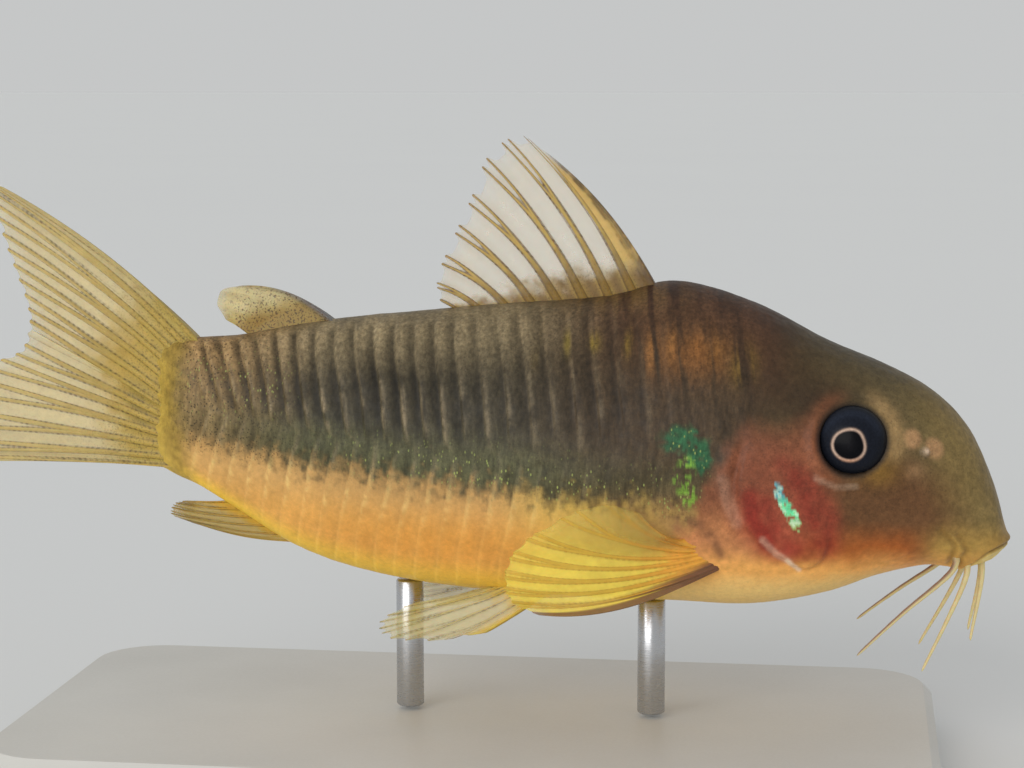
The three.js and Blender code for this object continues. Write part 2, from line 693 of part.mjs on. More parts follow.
const bodyCutter = wholeBody(GAP);
const SIDES = { left: 1, right: -1 };

addFlesh("head", head(), "head");
addFlesh("torso", solid(torsoLoft()), "flank");
addFlesh("tail", solid(tailLoft()), "flank");
for (const [name, side] of Object.entries(SIDES)) {
  addFlesh(`eye_${name}`, eyeShape(side, 0, 18, 10), "eye");
  addFlesh(`gill_cover_${name}`, gillCover(side), "gill");
  for (const [kind, settings] of Object.entries(BARBELS)) {
    addFlesh(`barbel_${kind}_${name}`, barbel(settings, side), "barbel");
  }
}

const MIDLINE_FINS = {
  dorsal_fin: DORSAL,
  adipose_fin: ADIPOSE,
  tail_fin_upper: TAIL_UPPER,
  tail_fin_lower: TAIL_LOWER,
  anal_fin: ANAL,
};
for (const [name, settings] of Object.entries(MIDLINE_FINS)) {
  addFlesh(name, finSolid(fin(settings)).subtract(bodyCutter), "fin");
}
for (const [name, settings] of Object.entries({ pectoral_fin: PECTORAL, pelvic_fin: PELVIC })) {
  addFlesh(`${name}_left`, finSolid(fin(settings)).subtract(bodyCutter), "fin");
  addFlesh(`${name}_right`, finSolid(fin(mirrored(settings))).subtract(bodyCutter), "fin");
}

addPiece("stand_base", geometryOf(standBase()), "base");
for (const [name, x] of Object.entries(ROD_SPOTS)) {
  addFlesh(`stand_rod_${name}`, standRod(x, bodyCutter), "rod");
}

export default fish;
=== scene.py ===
"""The looks of the corydoras catfish model: skin, eyes, fins, barbels, stand, floor, light and camera.

The shape functions work in millimetres in the same frame as the CAD part, and a mesh is scaled to metres
as it is made. +X is the head, +Y the fish's left side, +Z up.
"""

import functools
import itertools
import math

import bmesh
import bpy
import numpy as np
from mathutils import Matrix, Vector


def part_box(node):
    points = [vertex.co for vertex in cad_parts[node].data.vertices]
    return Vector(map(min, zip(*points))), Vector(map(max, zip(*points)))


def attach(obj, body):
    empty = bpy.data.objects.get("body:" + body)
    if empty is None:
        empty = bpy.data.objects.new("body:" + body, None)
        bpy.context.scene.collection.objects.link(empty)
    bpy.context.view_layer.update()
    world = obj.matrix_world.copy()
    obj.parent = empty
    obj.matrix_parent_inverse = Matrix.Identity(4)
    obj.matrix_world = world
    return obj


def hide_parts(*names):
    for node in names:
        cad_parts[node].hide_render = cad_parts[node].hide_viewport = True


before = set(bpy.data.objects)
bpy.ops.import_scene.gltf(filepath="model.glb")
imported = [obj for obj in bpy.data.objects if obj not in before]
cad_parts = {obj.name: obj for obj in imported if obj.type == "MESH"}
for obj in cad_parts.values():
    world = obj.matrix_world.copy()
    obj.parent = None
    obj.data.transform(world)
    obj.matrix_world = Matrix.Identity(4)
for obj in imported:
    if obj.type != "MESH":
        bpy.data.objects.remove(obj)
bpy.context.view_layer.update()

MM = 0.001
TAU = 2 * math.pi
SIDES = {1: "left", -1: "right"}

# Body, as in the part: x, back, belly, half width, widest level, squareness above and below
SECTION_KEYS = ("x", "back", "belly", "half", "widest", "upper", "lower")
SECTIONS = (
    (-22.0, 26.6, 19.8, 0.55, 0.5, 2.0, 2.0),
    (-20.8, 27.6, 19.1, 1.35, 0.5, 2.0, 2.0),
    (-18.6, 28.0, 18.2, 2.1, 0.5, 2.0, 2.0),
    (-15.5, 28.25, 16.35, 2.9, 0.49, 1.9, 2.0),
    (-12.0, 28.95, 14.3, 3.9, 0.48, 1.85, 2.05),
    (-8.0, 29.5, 12.95, 4.9, 0.46, 1.8, 2.15),
    (-3.0, 30.0, 12.1, 5.9, 0.44, 1.8, 2.3),
    (3.0, 30.6, 11.7, 6.7, 0.42, 1.8, 2.4),
    (8.5, 31.1, 11.55, 7.1, 0.41, 1.8, 2.45),
    (13.0, 32.05, 11.5, 7.2, 0.41, 1.85, 2.45),
    (18.0, 30.72, 11.45, 7.0, 0.42, 2.0, 2.4),
    (22.5, 28.45, 12.25, 6.45, 0.44, 2.1, 2.3),
    (26.2, 26.95, 13.55, 5.6, 0.45, 2.15, 2.2),
    (29.2, 25.35, 14.2, 4.55, 0.44, 2.15, 2.1),
    (31.5, 23.05, 13.9, 3.45, 0.42, 2.1, 2.1),
    (33.1, 19.7, 14.4, 2.4, 0.4, 2.0, 2.0),
    (33.9, 16.95, 15.1, 1.3, 0.4, 2.0, 2.0),
    (34.25, 16.0, 15.5, 0.4, 0.5, 2.0, 2.0),
)
BODY_START, BODY_END = SECTIONS[0][0], SECTIONS[-1][0]
PLATES = 26
FRONT_PITCH, REAR_PITCH = 1.54, 1.17
HEAD_SEAM = 14.3
APEX_FORWARD, BACK_FORWARD = 2.0, 0.6
LATERAL_LINE = 0.2225
SWIM_STILL, SWIM_SNOUT, SWIM_TAIL = 4.0, -0.6, -1.5
SWIM_HEAD_REACH, SWIM_TAIL_REACH = 30.0, 40.0


def smooth(x, low, high):
    """Rises gently from 0 at low to 1 at high, or falls where low is the greater of the two."""
    t = np.clip((np.asarray(x, float) - low) / (high - low), 0, 1)
    return t * t * (3 - 2 * t)


def mix(a, b, t):
    return a + (b - a) * t


def bump(distance, width):
    return np.exp(-((distance / width) ** 2))


def length(vectors):
    return np.linalg.norm(vectors, axis=-1)


def unit(vectors):
    return vectors / np.maximum(length(vectors), 1e-9)[..., None]


def spline_rows(table, t):
    """Catmull-Rom through the rows of a table at the places t, counted in rows."""
    table = np.asarray(table, float)
    last = len(table) - 1
    i = np.clip(np.floor(t).astype(int), 0, last - 1)
    f = (t - i)[..., None]
    a, b = table[np.clip(i - 1, 0, last)], table[i]
    c, d = table[np.clip(i + 1, 0, last)], table[np.clip(i + 2, 0, last)]
    cubic = (3 * (b - c) + d - a) * f**3
    square = (2 * a - 5 * b + 4 * c - d) * f**2
    return b + 0.5 * (cubic + square + (c - a) * f)


fine_sections = spline_rows(SECTIONS, np.linspace(0, len(SECTIONS) - 1, 6001))


def section(x):
    """The section values at x, by name."""
    return {k: np.interp(x, fine_sections[:, 0], fine_sections[:, i]) for i, k in enumerate(SECTION_KEYS)}


def surface(x, angle):
    """The point of the body at x and angle: 0 the back, 90 degrees the left side, 180 the belly."""
    s = section(x)
    level = mix(s["belly"], s["back"], s["widest"])
    up, across = np.cos(angle), np.sin(angle)
    power = 2 / np.where(up > 0, s["upper"], s["lower"])
    reach = np.where(up > 0, s["back"] - level, level - s["belly"])
    y = s["half"] * np.sign(across) * np.abs(across) ** power
    z = level + reach * np.sign(up) * np.abs(up) ** power
    return np.stack([x, y, z], -1)


def flank(x, z, side=1):
    """The point of the body's side at a place and height."""
    s = section(x)
    level = mix(s["belly"], s["back"], s["widest"])
    above = z > level
    share = abs(z - level) / (s["back"] - level if above else level - s["belly"])
    power = s["upper"] if above else s["lower"]
    out = s["half"] * max(0.0, 1 - min(share, 1) ** power) ** (1 / power)
    return np.array([x, side * out, z])


def swim(points):
    """Bends points sideways as the swimming body is bent."""
    points = np.array(points, float)
    x = points[..., 0]
    ahead = np.maximum(0, (x - SWIM_STILL) / SWIM_HEAD_REACH)
    behind = np.maximum(0, (SWIM_STILL - x) / SWIM_TAIL_REACH)
    points[..., 1] += SWIM_SNOUT * ahead**2 + SWIM_TAIL * behind**2
    return points


plate_edges = [HEAD_SEAM]
for k in range(PLATES):
    plate_edges.append(plate_edges[-1] - mix(FRONT_PITCH, REAR_PITCH, k / (PLATES - 1)))


def ring_shift(station, angle):
    """How far a ring of plates leans forwards at an angle round the body, furthest on the lateral line."""
    up = np.cos(angle)
    above = (up - LATERAL_LINE) / (1 - LATERAL_LINE)
    below = (LATERAL_LINE - up) / (1 + LATERAL_LINE)
    chevron = np.where(
        up > LATERAL_LINE,
        mix(APEX_FORWARD, BACK_FORWARD, np.clip(above, 0, 1) ** 1.3),
        mix(APEX_FORWARD, 0, np.clip(below, 0, 1)),
    )
    return chevron * smooth(station, HEAD_SEAM + 12, HEAD_SEAM - 2)


# Meshes


def add_object(name, data, place=(0, 0, 0), direction=None):
    """A new object in the scene. A light or camera looks along its direction."""
    obj = bpy.data.objects.new(name, data)
    bpy.context.scene.collection.objects.link(obj)
    obj.location = place
    if direction is not None:
        obj.rotation_euler = direction.to_track_quat("-Z", "Y").to_euler()
    return obj


def new_mesh(name, verts, faces, material, colors=None, floats=None):
    """A smooth mesh object from points in millimetres, with colours and values on its points."""
    mesh = bpy.data.meshes.new(name)
    verts = np.asarray(verts, float) * MM
    mesh.from_pydata(verts.tolist(), [], faces)
    mesh.update()
    mesh.polygons.foreach_set("use_smooth", [True] * len(mesh.polygons))
    for key, values in (colors or {}).items():
        layer = mesh.attributes.new(key, "FLOAT_COLOR", "POINT")
        layer.data.foreach_set("color", np.pad(values, ((0, 0), (0, 1)), constant_values=1.0).ravel())
    for key, values in (floats or {}).items():
        layer = mesh.attributes.new(key, "FLOAT", "POINT")
        layer.data.foreach_set("value", values.ravel())
    mesh.materials.append(material)
    return add_object(name, mesh)


def add_piece(piece, slot, *nodes):
    """Puts a piece of the fish or stand under the root body, and hides the CAD nodes that it stands in for.
    """
    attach(piece, "root")
    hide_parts(*nodes)


def face_outwards(obj):
    """Turns all faces of a mesh so that they face away from its inside."""
    work = bmesh.new()
    work.from_mesh(obj.data)
    bmesh.ops.recalc_face_normals(work, faces=work.faces)
    work.to_mesh(obj.data)
    work.free()


def grid_faces(rows, columns, closed):
    """Quads of a grid of points, row by row. A closed grid joins its last column to its first."""
    r = np.arange(rows - 1)[:, None]
    c = np.arange(columns if closed else columns - 1)[None, :]
    n = (c + 1) % columns
    quads = np.stack([r * columns + c, r * columns + n, (r + 1) * columns + n, (r + 1) * columns + c], -1)
    return quads.reshape(-1, 4)


def tube_faces(rows, columns, ends=2):
    """Quads of a closed grid, and fans from its first ring, or both end rings, to the points after it."""
    faces = grid_faces(rows, columns, True).tolist()
    count = rows * columns
    for k in range(columns):
        n = (k + 1) % columns
        faces.append([count, n, k])
        if ends == 2:
            faces.append([count + 1, count - columns + k, count - columns + n])
    return faces


def with_ends(grid, ends=2):
    """The rows of a grid one after another, and the mean of its first row, or of its first and last."""
    means = grid[[0, -1][:ends]].mean(1)
    return np.vstack([grid.reshape(grid.shape[0] * grid.shape[1], -1), means.reshape(ends, -1)])


def grid_normals(points, closed):
    """Unit normals of a grid of points."""
    if closed:
        across = np.roll(points, -1, 1) - np.roll(points, 1, 1)
    else:
        across = np.gradient(points, axis=1)
    return unit(np.cross(across, np.gradient(points, axis=0)))


def srgb(r, g, b):
    """A colour given as screen values, in linear light."""
    c = np.array([r, g, b]) / 255
    return np.where(c <= 0.04045, c / 12.92, ((c + 0.055) / 1.055) ** 2.4)


def paint(base, *layers):
    """Lays colours over a base one after another, each through its mask."""
    for mask, color in layers:
        base = mix(base, color, np.asarray(mask)[..., None])
    return base


class Noise:
    """Smooth value noise on a lattice, the same each run."""

    SIZE = 64

    def __init__(self, seed):
        self.lattice = np.random.default_rng(seed).random((self.SIZE,) * 3)

    def __call__(self, points, size):
        p = np.asarray(points) / size
        i = np.floor(p).astype(int)
        f = smooth(p - i, 0, 1)
        total = 0
        for corner in itertools.product((0, 1), repeat=3):
            wx, wy, wz = (f[..., k] if corner[k] else 1 - f[..., k] for k in range(3))
            x, y, z = ((i[..., k] + corner[k]) % self.SIZE for k in range(3))
            total = total + wx * wy * wz * self.lattice[x, y, z]
        return total

    def layers(self, points, size, count=3):
        value, weight, total = 0, 1.0, 0
        for k in range(count):
            value = value + weight * self(points, size / 2**k)
            total += weight
            weight *= 0.55
        return value / total


noise = Noise(3)

# Skin

EYE = {"x": 24.25, "z": 22.75, "radius": 2.2, "depth": 1.55, "sunk": 0.65, "forward": 4, "up": 6}
EYE_PUPIL = (-0.14, -0.06)
GILL_OUTLINE = (
    (18.3, 22.9), (17.5, 21.4), (17.3, 19.7), (17.6, 17.7), (18.8, 16.4), (20.0, 15.5), (21.4, 14.7),
    (22.5, 15.4), (22.9, 17.3), (22.5, 19.2), (21.4, 20.9), (20.2, 22.4),
)
MOUTH_EDGE = ((30.2, 14.15), (31.2, 14.15), (31.9, 14.5), (32.85, 15.3), (33.7, 15.65), (34.2, 15.75))
LIP_HEIGHT, LIP_WIDTH = 0.5, 0.4
MOUTH_FOLDS = (((29.75, 17.0), (30.75, 15.9), (30.45, 14.6)), ((30.9, 16.6), (31.5, 15.5), (30.9, 14.5)))
NOSTRILS = ((27.9, 22.8, 0.58), (29.3, 22.15, 0.64))
NOSTRIL_FLAP = (28.7, 22.0)
SNOUT_END = 34.33
SNOUT_FROM = 26.0
STATION_STEP = 0.085
SKIN_SIDES = 300

# How far the skin's features stand out or sink in
PLATE_RISE = 0.14
EYE_RIM, EYE_SOCKET = 0.16, 1.3
GILL_STEP, GILL_SWELL, GILL_GROOVE = 0.13, 0.12, 0.1
NOSTRIL_RISE, NOSTRIL_PIT, FLAP_RISE = 0.1, 0.08, 0.4
LIP_RISE, MOUTH_GAP, LOWER_LIP_SUNK, FOLD_DEPTH = 0.22, 0.34, 0.2, 0.14
COARSE_SKIN, FINE_SKIN = 0.05, 0.025

# Lines in the XZ plane with a width and a height or strength
SKULL_RELIEF = (
    (((22.1, 20.5), (23.25, 20.0), (24.5, 20.0)), 0.2, 0.07),
    (((16.9, 22.0), (16.4, 20.3), (16.75, 19.1), (17.2, 17.8)), 0.55, 0.1),
    (((26.8, 21.6), (28.2, 20.2), (30.2, 19.6)), 0.35, 0.05),
    (((13.2, 30.0), (16.5, 27.3), (20.5, 25.6)), 0.4, -0.05),
    (((23.0, 17.6), (25.6, 16.8), (28.6, 16.2)), 0.4, -0.05),
)
DEEP_REDS = (
    (((21.2, 20.6), (22.2, 19.2), (23.0, 17.5), (22.9, 16.3)), 0.805, 0.45),
    (((22.4, 16.3), (21.4, 15.7), (20.4, 16.2)), 0.7475, 0.5),
    (((18.1, 19.2), (18.4, 17.6), (19.2, 16.4)), 0.69, 0.75),
    (((20.0, 21.4), (20.8, 20.2)), 0.575, 0.35),
    (((21.3, 19.2), (22.0, 17.6)), 0.46, 0.5),
    (((19.1, 19.0), (19.6, 17.4)), 0.46, 0.45),
)
PALE_LINES = (
    (((18.9, 16.6), (19.7, 15.7), (20.5, 15.2)), 0.26, 0.3),
    (((20.4, 15.25), (21.1, 14.6)), 0.18, 0.8),
    (((22.1, 20.5), (23.25, 20.0), (24.5, 20.0)), 0.2, 0.18),
    (((16.4, 20.3), (16.7, 19.1), (17.3, 17.7)), 0.45, 0.14),
)
SHOULDER_STROKE = ((13.7, 18.0), (15.0, 17.5), (15.8, 16.6), (16.3, 15.6))
LIME_LINE = ((14.2, 21.2), (13.9, 20.3), (14.3, 19.2))
GILL_STREAK = ((19.8, 19.9), (20.3, 18.9), (21.0, 17.5))
FLANK_BORDER = ((-22, -19, -12, -4, 3, 9, 13, 20), (22.2, 21.4, 20.3, 19.5, 19.1, 18.5, 18.0, 17.8))

# Lit flecks on the flank: place, half length, half height and colour
FLANK_FLECKS = (
    (14.2, 27.8, 3.0, 1.5, (128, 84, 44)),
    (11.75, 28.0, 0.3, 1.1, (150, 102, 54)),
    (13.05, 28.4, 0.3, 0.9, (156, 106, 56)),
    (14.6, 28.3, 0.4, 0.8, (146, 96, 50)),
    (15.8, 28.1, 0.5, 0.8, (130, 88, 44)),
    (17.6, 27.2, 0.7, 1.0, (136, 108, 44)),
    (10.25, 28.4, 0.25, 0.7, (140, 112, 48)),
    (7.95, 28.45, 0.45, 0.55, (146, 122, 44)),
    (6.4, 28.4, 0.25, 0.7, (138, 118, 52)),
    (4.4, 28.0, 0.2, 0.9, (132, 110, 58)),
    (8.5, 31.4, 4.0, 1.0, (138, 108, 64)),
)


def eye_axis(side):
    forward, up = math.radians(EYE["forward"]), math.radians(EYE["up"])
    return unit(np.array([math.sin(forward), side * math.cos(forward), math.sin(up)]))


def eye_spot(side):
    return flank(EYE["x"], EYE["z"], side) - eye_axis(side) * EYE["sunk"]


def line_distance(points, line):
    """Shortest distance of points from a line of straight stretches."""
    line = np.asarray(line, float)
    best = np.full(points.shape[:-1], np.inf)
    for a, b in zip(line[:-1], line[1:]):
        t = np.clip(((points - a) @ (b - a)) / np.dot(b - a, b - a), 0, 1)
        best = np.minimum(best, length(points - (a + t[..., None] * (b - a))))
    return best


def inside_distance(xz, outline):
    """Signed distance to a closed outline in the XZ plane, positive inside."""
    inside = np.zeros(xz.shape[:-1], bool)
    for (x1, z1), (x2, z2) in zip(outline[:-1], outline[1:]):
        crosses = (z1 > xz[..., 1]) != (z2 > xz[..., 1])
        at = x1 + (xz[..., 1] - z1) * (x2 - x1) / np.where(z2 == z1, 1e-9, z2 - z1)
        inside ^= crosses & (xz[..., 0] < at)
    return line_distance(xz, outline) * np.where(inside, 1, -1)


def body_stations():
    """Stations from tail to snout, close together in the plates and evenly spread round the snout."""
    x = np.linspace(SNOUT_FROM, BODY_END, 4000)
    run = np.concatenate([[0], np.cumsum(np.hypot(np.diff(x), np.diff(section(x)["back"])))])
    front = np.interp(np.linspace(0, run[-1], int(run[-1] / STATION_STEP)), run, x)
    return np.concatenate([np.arange(BODY_START - APEX_FORWARD, SNOUT_FROM, STATION_STEP), front])


def plate_places(station, up, points):
    """Each point's place in its plate, 0 at the front to 1 at the rear edge, and where the plates show."""
    edges = np.array(plate_edges[::-1])
    index = np.arange(len(edges), dtype=float)[::-1]
    bent = station + 0.5 * (noise.layers(points + 70, 5.0, 2) - 0.5)
    lower_row = smooth(up, LATERAL_LINE + 0.03, LATERAL_LINE - 0.03)
    place = np.interp(bent, edges, index) + 0.5 * lower_row
    on = smooth(station, edges[0] + 0.4, edges[0] + 2.6) * smooth(station, HEAD_SEAM - 0.4, HEAD_SEAM - 9.0)
    on = on * (1 - 0.4 * smooth(station, -8, 4)) * (0.55 + 0.9 * noise.layers(points + 90, 2.6, 2))
    on = on * (1 - 0.8 * bump(up - LATERAL_LINE, 0.1)) * (1 - 0.6 * lower_row)
    return place - np.floor(place), on * smooth(np.abs(up), 0.99, 0.9)


def gill_relief(P):
    """The gill covers, raised with a step at the rear and lower edge, and the distance inside them."""
    turns = np.linspace(1, len(GILL_OUTLINE) + 1, 73)
    outline = spline_rows(GILL_OUTLINE[-1:] + GILL_OUTLINE + GILL_OUTLINE[:2], turns)
    gill = inside_distance(P[..., ::2], outline) + 0.35 * (noise.layers(P + 50, 2.0) - 0.5)
    gill = np.where(np.abs(P[..., 1]) > 2, gill, -9)
    rear_edge = smooth(-P[..., 0] * 0.8 - P[..., 2] + 35.6, -2.0, 1.5)
    step = GILL_STEP * smooth(gill, -0.12, 0.22) - GILL_GROOVE * bump(gill + 0.25, 0.22)
    return step * rear_edge + GILL_SWELL * smooth(gill, -1.2, 1.0), gill


def nostril_relief(P, near):
    """Two low patches a side with a small pit each, and the flap between them."""
    uneven = 0.3 * (noise.layers(P, 0.8) - 0.5)
    relief, nares = 0, 0
    for x, z, radius in NOSTRILS:
        d = length(near - flank(x, z))
        nares = np.maximum(nares, smooth(d + uneven, radius * 1.4, radius * 0.5))
        relief = relief + NOSTRIL_RISE * bump(d, radius) - NOSTRIL_PIT * bump(d, radius * 0.35)
    d = length(near - flank(*NOSTRIL_FLAP))
    return relief + FLAP_RISE * bump(d, 0.26), {"nares": nares, "flap": bump(d, 0.2)}


def mouth_relief(P):
    """The upper lip's overhanging edge, the lower lip under it and the folds at the corner of the mouth."""
    X, Y, Z = np.moveaxis(P, -1, 0)
    left = [(x, flank(x, z)[1], z) for x, z in MOUTH_EDGE[:-1]]
    right = [(x, -y, z) for x, y, z in left]
    arc = right + [(MOUTH_EDGE[-1][0], 0, MOUTH_EDGE[-1][1])] + left[::-1]
    edge = line_distance(P, spline_rows(arc, np.linspace(0, len(arc) - 1, 41)))
    over = Z - np.interp(X, *zip(*MOUTH_EDGE))
    front = smooth(X, 29.8, 31.4)
    folds = np.maximum(*(near_line(P, line, 0.22) for line in MOUTH_FOLDS))
    relief = LIP_RISE * bump(np.hypot(edge, over - LIP_HEIGHT), LIP_WIDTH) * front
    relief = relief - MOUTH_GAP * bump(edge, 0.2) - LOWER_LIP_SUNK * smooth(-over, 0.0, 0.5) * front
    return relief - FOLD_DEPTH * folds * smooth(np.abs(Y), 0.5, 1.2), {
        "lip": smooth(over, 1.6, 0.3) * smooth(over, -0.1, 0.2) * front,
        "lower_lip": smooth(-over, 0.0, 0.3) * smooth(X, 30.4, 31.6),
        "mouth": np.maximum(bump(edge, 0.2), 0.7 * folds),
    }


def skin_relief(P, S, up):
    """How far the skin stands out from the plain body, and where its features are."""
    Y = P[..., 1]
    near = np.where([False, True, False], np.abs(P), P)
    f, plated = plate_places(S, up, P)
    plates = PLATE_RISE * smooth(f, 0.0, 0.8) * smooth(f, 1.0, 0.88) * plated
    rel = near - eye_spot(1)
    eye = length(rel - (rel @ eye_axis(1))[..., None] * eye_axis(1))
    socket = EYE_RIM * bump(eye - 2.45, 0.4) - EYE_SOCKET * smooth(eye, 2.02, 1.72)
    gills, gill = gill_relief(P)
    skull = sum(rise * near_line(P, line, width) for line, width, rise in SKULL_RELIEF)
    nose, nose_masks = nostril_relief(P, near)
    mouth, mouth_masks = mouth_relief(P)
    uneven = COARSE_SKIN * (noise.layers(P, 1.6) - 0.5) + FINE_SKIN * (noise.layers(P + 40, 0.35, 2) - 0.5)
    relief = plates + socket + gills + skull * smooth(np.abs(Y), 0.5, 1.5) + nose + mouth + uneven
    return relief, {"plate": f, "plated": plated, "eye": eye, "gill": gill, **nose_masks, **mouth_masks}


def build_skin(material):
    """One skin over head, trunk and tail root, from rings of points that lean forwards with the plates."""
    angles = np.arange(SKIN_SIDES) / SKIN_SIDES * TAU
    S, A = np.meshgrid(body_stations(), angles, indexing="ij")
    P = surface(np.clip(S + ring_shift(S, A), BODY_START, BODY_END), A)

    # The end of the body thins out into the tail fin with a wavy edge
    ending = smooth(P[..., 0], BODY_START + 2.4, BODY_START)
    P[..., 1] *= 1 - 0.85 * ending
    P[..., 0] += 1.3 * (noise.layers(P * (0, 0, 1) + 11, 1.1, 2) - 0.4) * ending

    N = grid_normals(P, True)
    N *= np.sign(((P - P.mean(1, keepdims=True)) * N).sum(-1, keepdims=True) + 1e-12)
    relief, masks = skin_relief(P, S, np.cos(A))
    P = P + N * relief[..., None]
    P[..., 0] = np.minimum(P[..., 0], SNOUT_END)

    # Painted shade on faces that turn up and painted light on faces that turn down, by the normal's height,
    # with no colour brighter than white
    tint, marks = skin_colours(P, S, np.cos(A), masks)
    rise = N[..., 2:]
    tint = tint * (1 - 0.2 * np.clip(rise, 0, 1) + 0.5 * np.clip(-rise, 0, 1))
    tint = tint * (1 - 0.35 * smooth(rise, 0.65, 1.0))
    tint = tint * np.minimum(1, 0.98 / np.maximum(tint.max(-1, keepdims=True), 0.01))

    faces = [face[::-1] for face in tube_faces(*S.shape)]
    marks = {key: with_ends(value) for key, value in marks.items()}
    skin = new_mesh("skin", with_ends(swim(P)), faces, material, {"tint": with_ends(tint)}, marks)
    add_piece(skin, "skin", "head", "torso", "tail", "gill_cover_left", "gill_cover_right")


# Colours of the skin, as screen values
FLANK = srgb(70, 63, 48)
FLANK_REAR = srgb(142, 115, 75)
FLANK_FRONT = srgb(74, 58, 40)
BACK_WITH_TOP_LIGHT = srgb(158, 140, 106)
BACK_REAR = srgb(182, 146, 98)
BACK_FRONT = srgb(88, 60, 42)
OLIVE = srgb(92, 92, 60)
PLATE_EDGE_HIGHLIGHT = srgb(142, 126, 98)
BELLY = srgb(214, 160, 84)
BELLY_HIGH = srgb(204, 160, 98)
BELLY_YELLOW = srgb(228, 186, 68)
BELLY_FRONT = srgb(222, 190, 96)
BELLY_BLUSH = srgb(218, 148, 62)
BELLY_EDGE_HIGHLIGHT = srgb(236, 206, 128)
TAIL_ROOT = srgb(152, 126, 54)
TAIL_END = srgb(190, 160, 74)
STROKE = srgb(98, 66, 48)
SHADED = srgb(160, 120, 76)
BREAST = srgb(248, 209, 132)
THROAT = srgb(222, 162, 88)
HEAD_TOP = srgb(82, 66, 42)
FOREHEAD = srgb(102, 88, 58)
SNOUT = srgb(132, 111, 66)
SNOUT_LOW = srgb(170, 136, 70)
NAPE = srgb(76, 50, 36)
TEMPLE_SHADE = srgb(64, 49, 35)
CHEEK = srgb(102, 70, 43)
CHEEK_REAR = srgb(132, 78, 53)
CHEEK_ORANGE = srgb(160, 88, 38)
SHOULDER = srgb(182, 122, 78)
GILL_RED = srgb(158, 78, 56)
GILL_DEEP = srgb(132, 34, 28)
LIP = srgb(160, 124, 62)
LOWER_LIP = srgb(214, 190, 116)
FOLD_SHADE = srgb(118, 90, 44)
BEHIND_EYE = srgb(140, 82, 52)
AHEAD_OF_EYE = srgb(182, 148, 98)
BELOW_EYE = srgb(150, 112, 48)
GREEN = srgb(44, 100, 64)
LIME = srgb(122, 166, 58)
BLUE = srgb(90, 170, 180)
CYAN = srgb(110, 222, 160)
MOSS = srgb(160, 178, 104)
GLEAM = srgb(214, 236, 206)
PALE = srgb(224, 196, 168)
NARES = srgb(182, 140, 98)
SOCKET_SHADE = srgb(24, 22, 22)


def near_line(P, line, width):
    """A soft stroke along a line in the XZ plane."""
    return bump(line_distance(P[..., ::2], line), width)


def blob(P, x, z, length, height):
    """A soft spot in the XZ plane."""
    return bump(np.hypot((P[..., 0] - x) / length, (P[..., 2] - z) / height), 1.0)


def on_sides(P):
    return smooth(np.abs(P[..., 1]), 3.0, 4.5)


def strokes(P, lines, color, rough, low, high):
    """Layers of a colour along lines on either side, with rough edges."""
    for line, width, strength in lines:
        yield strength * smooth(near_line(P, line, width) * rough, low, high) * on_sides(P), color


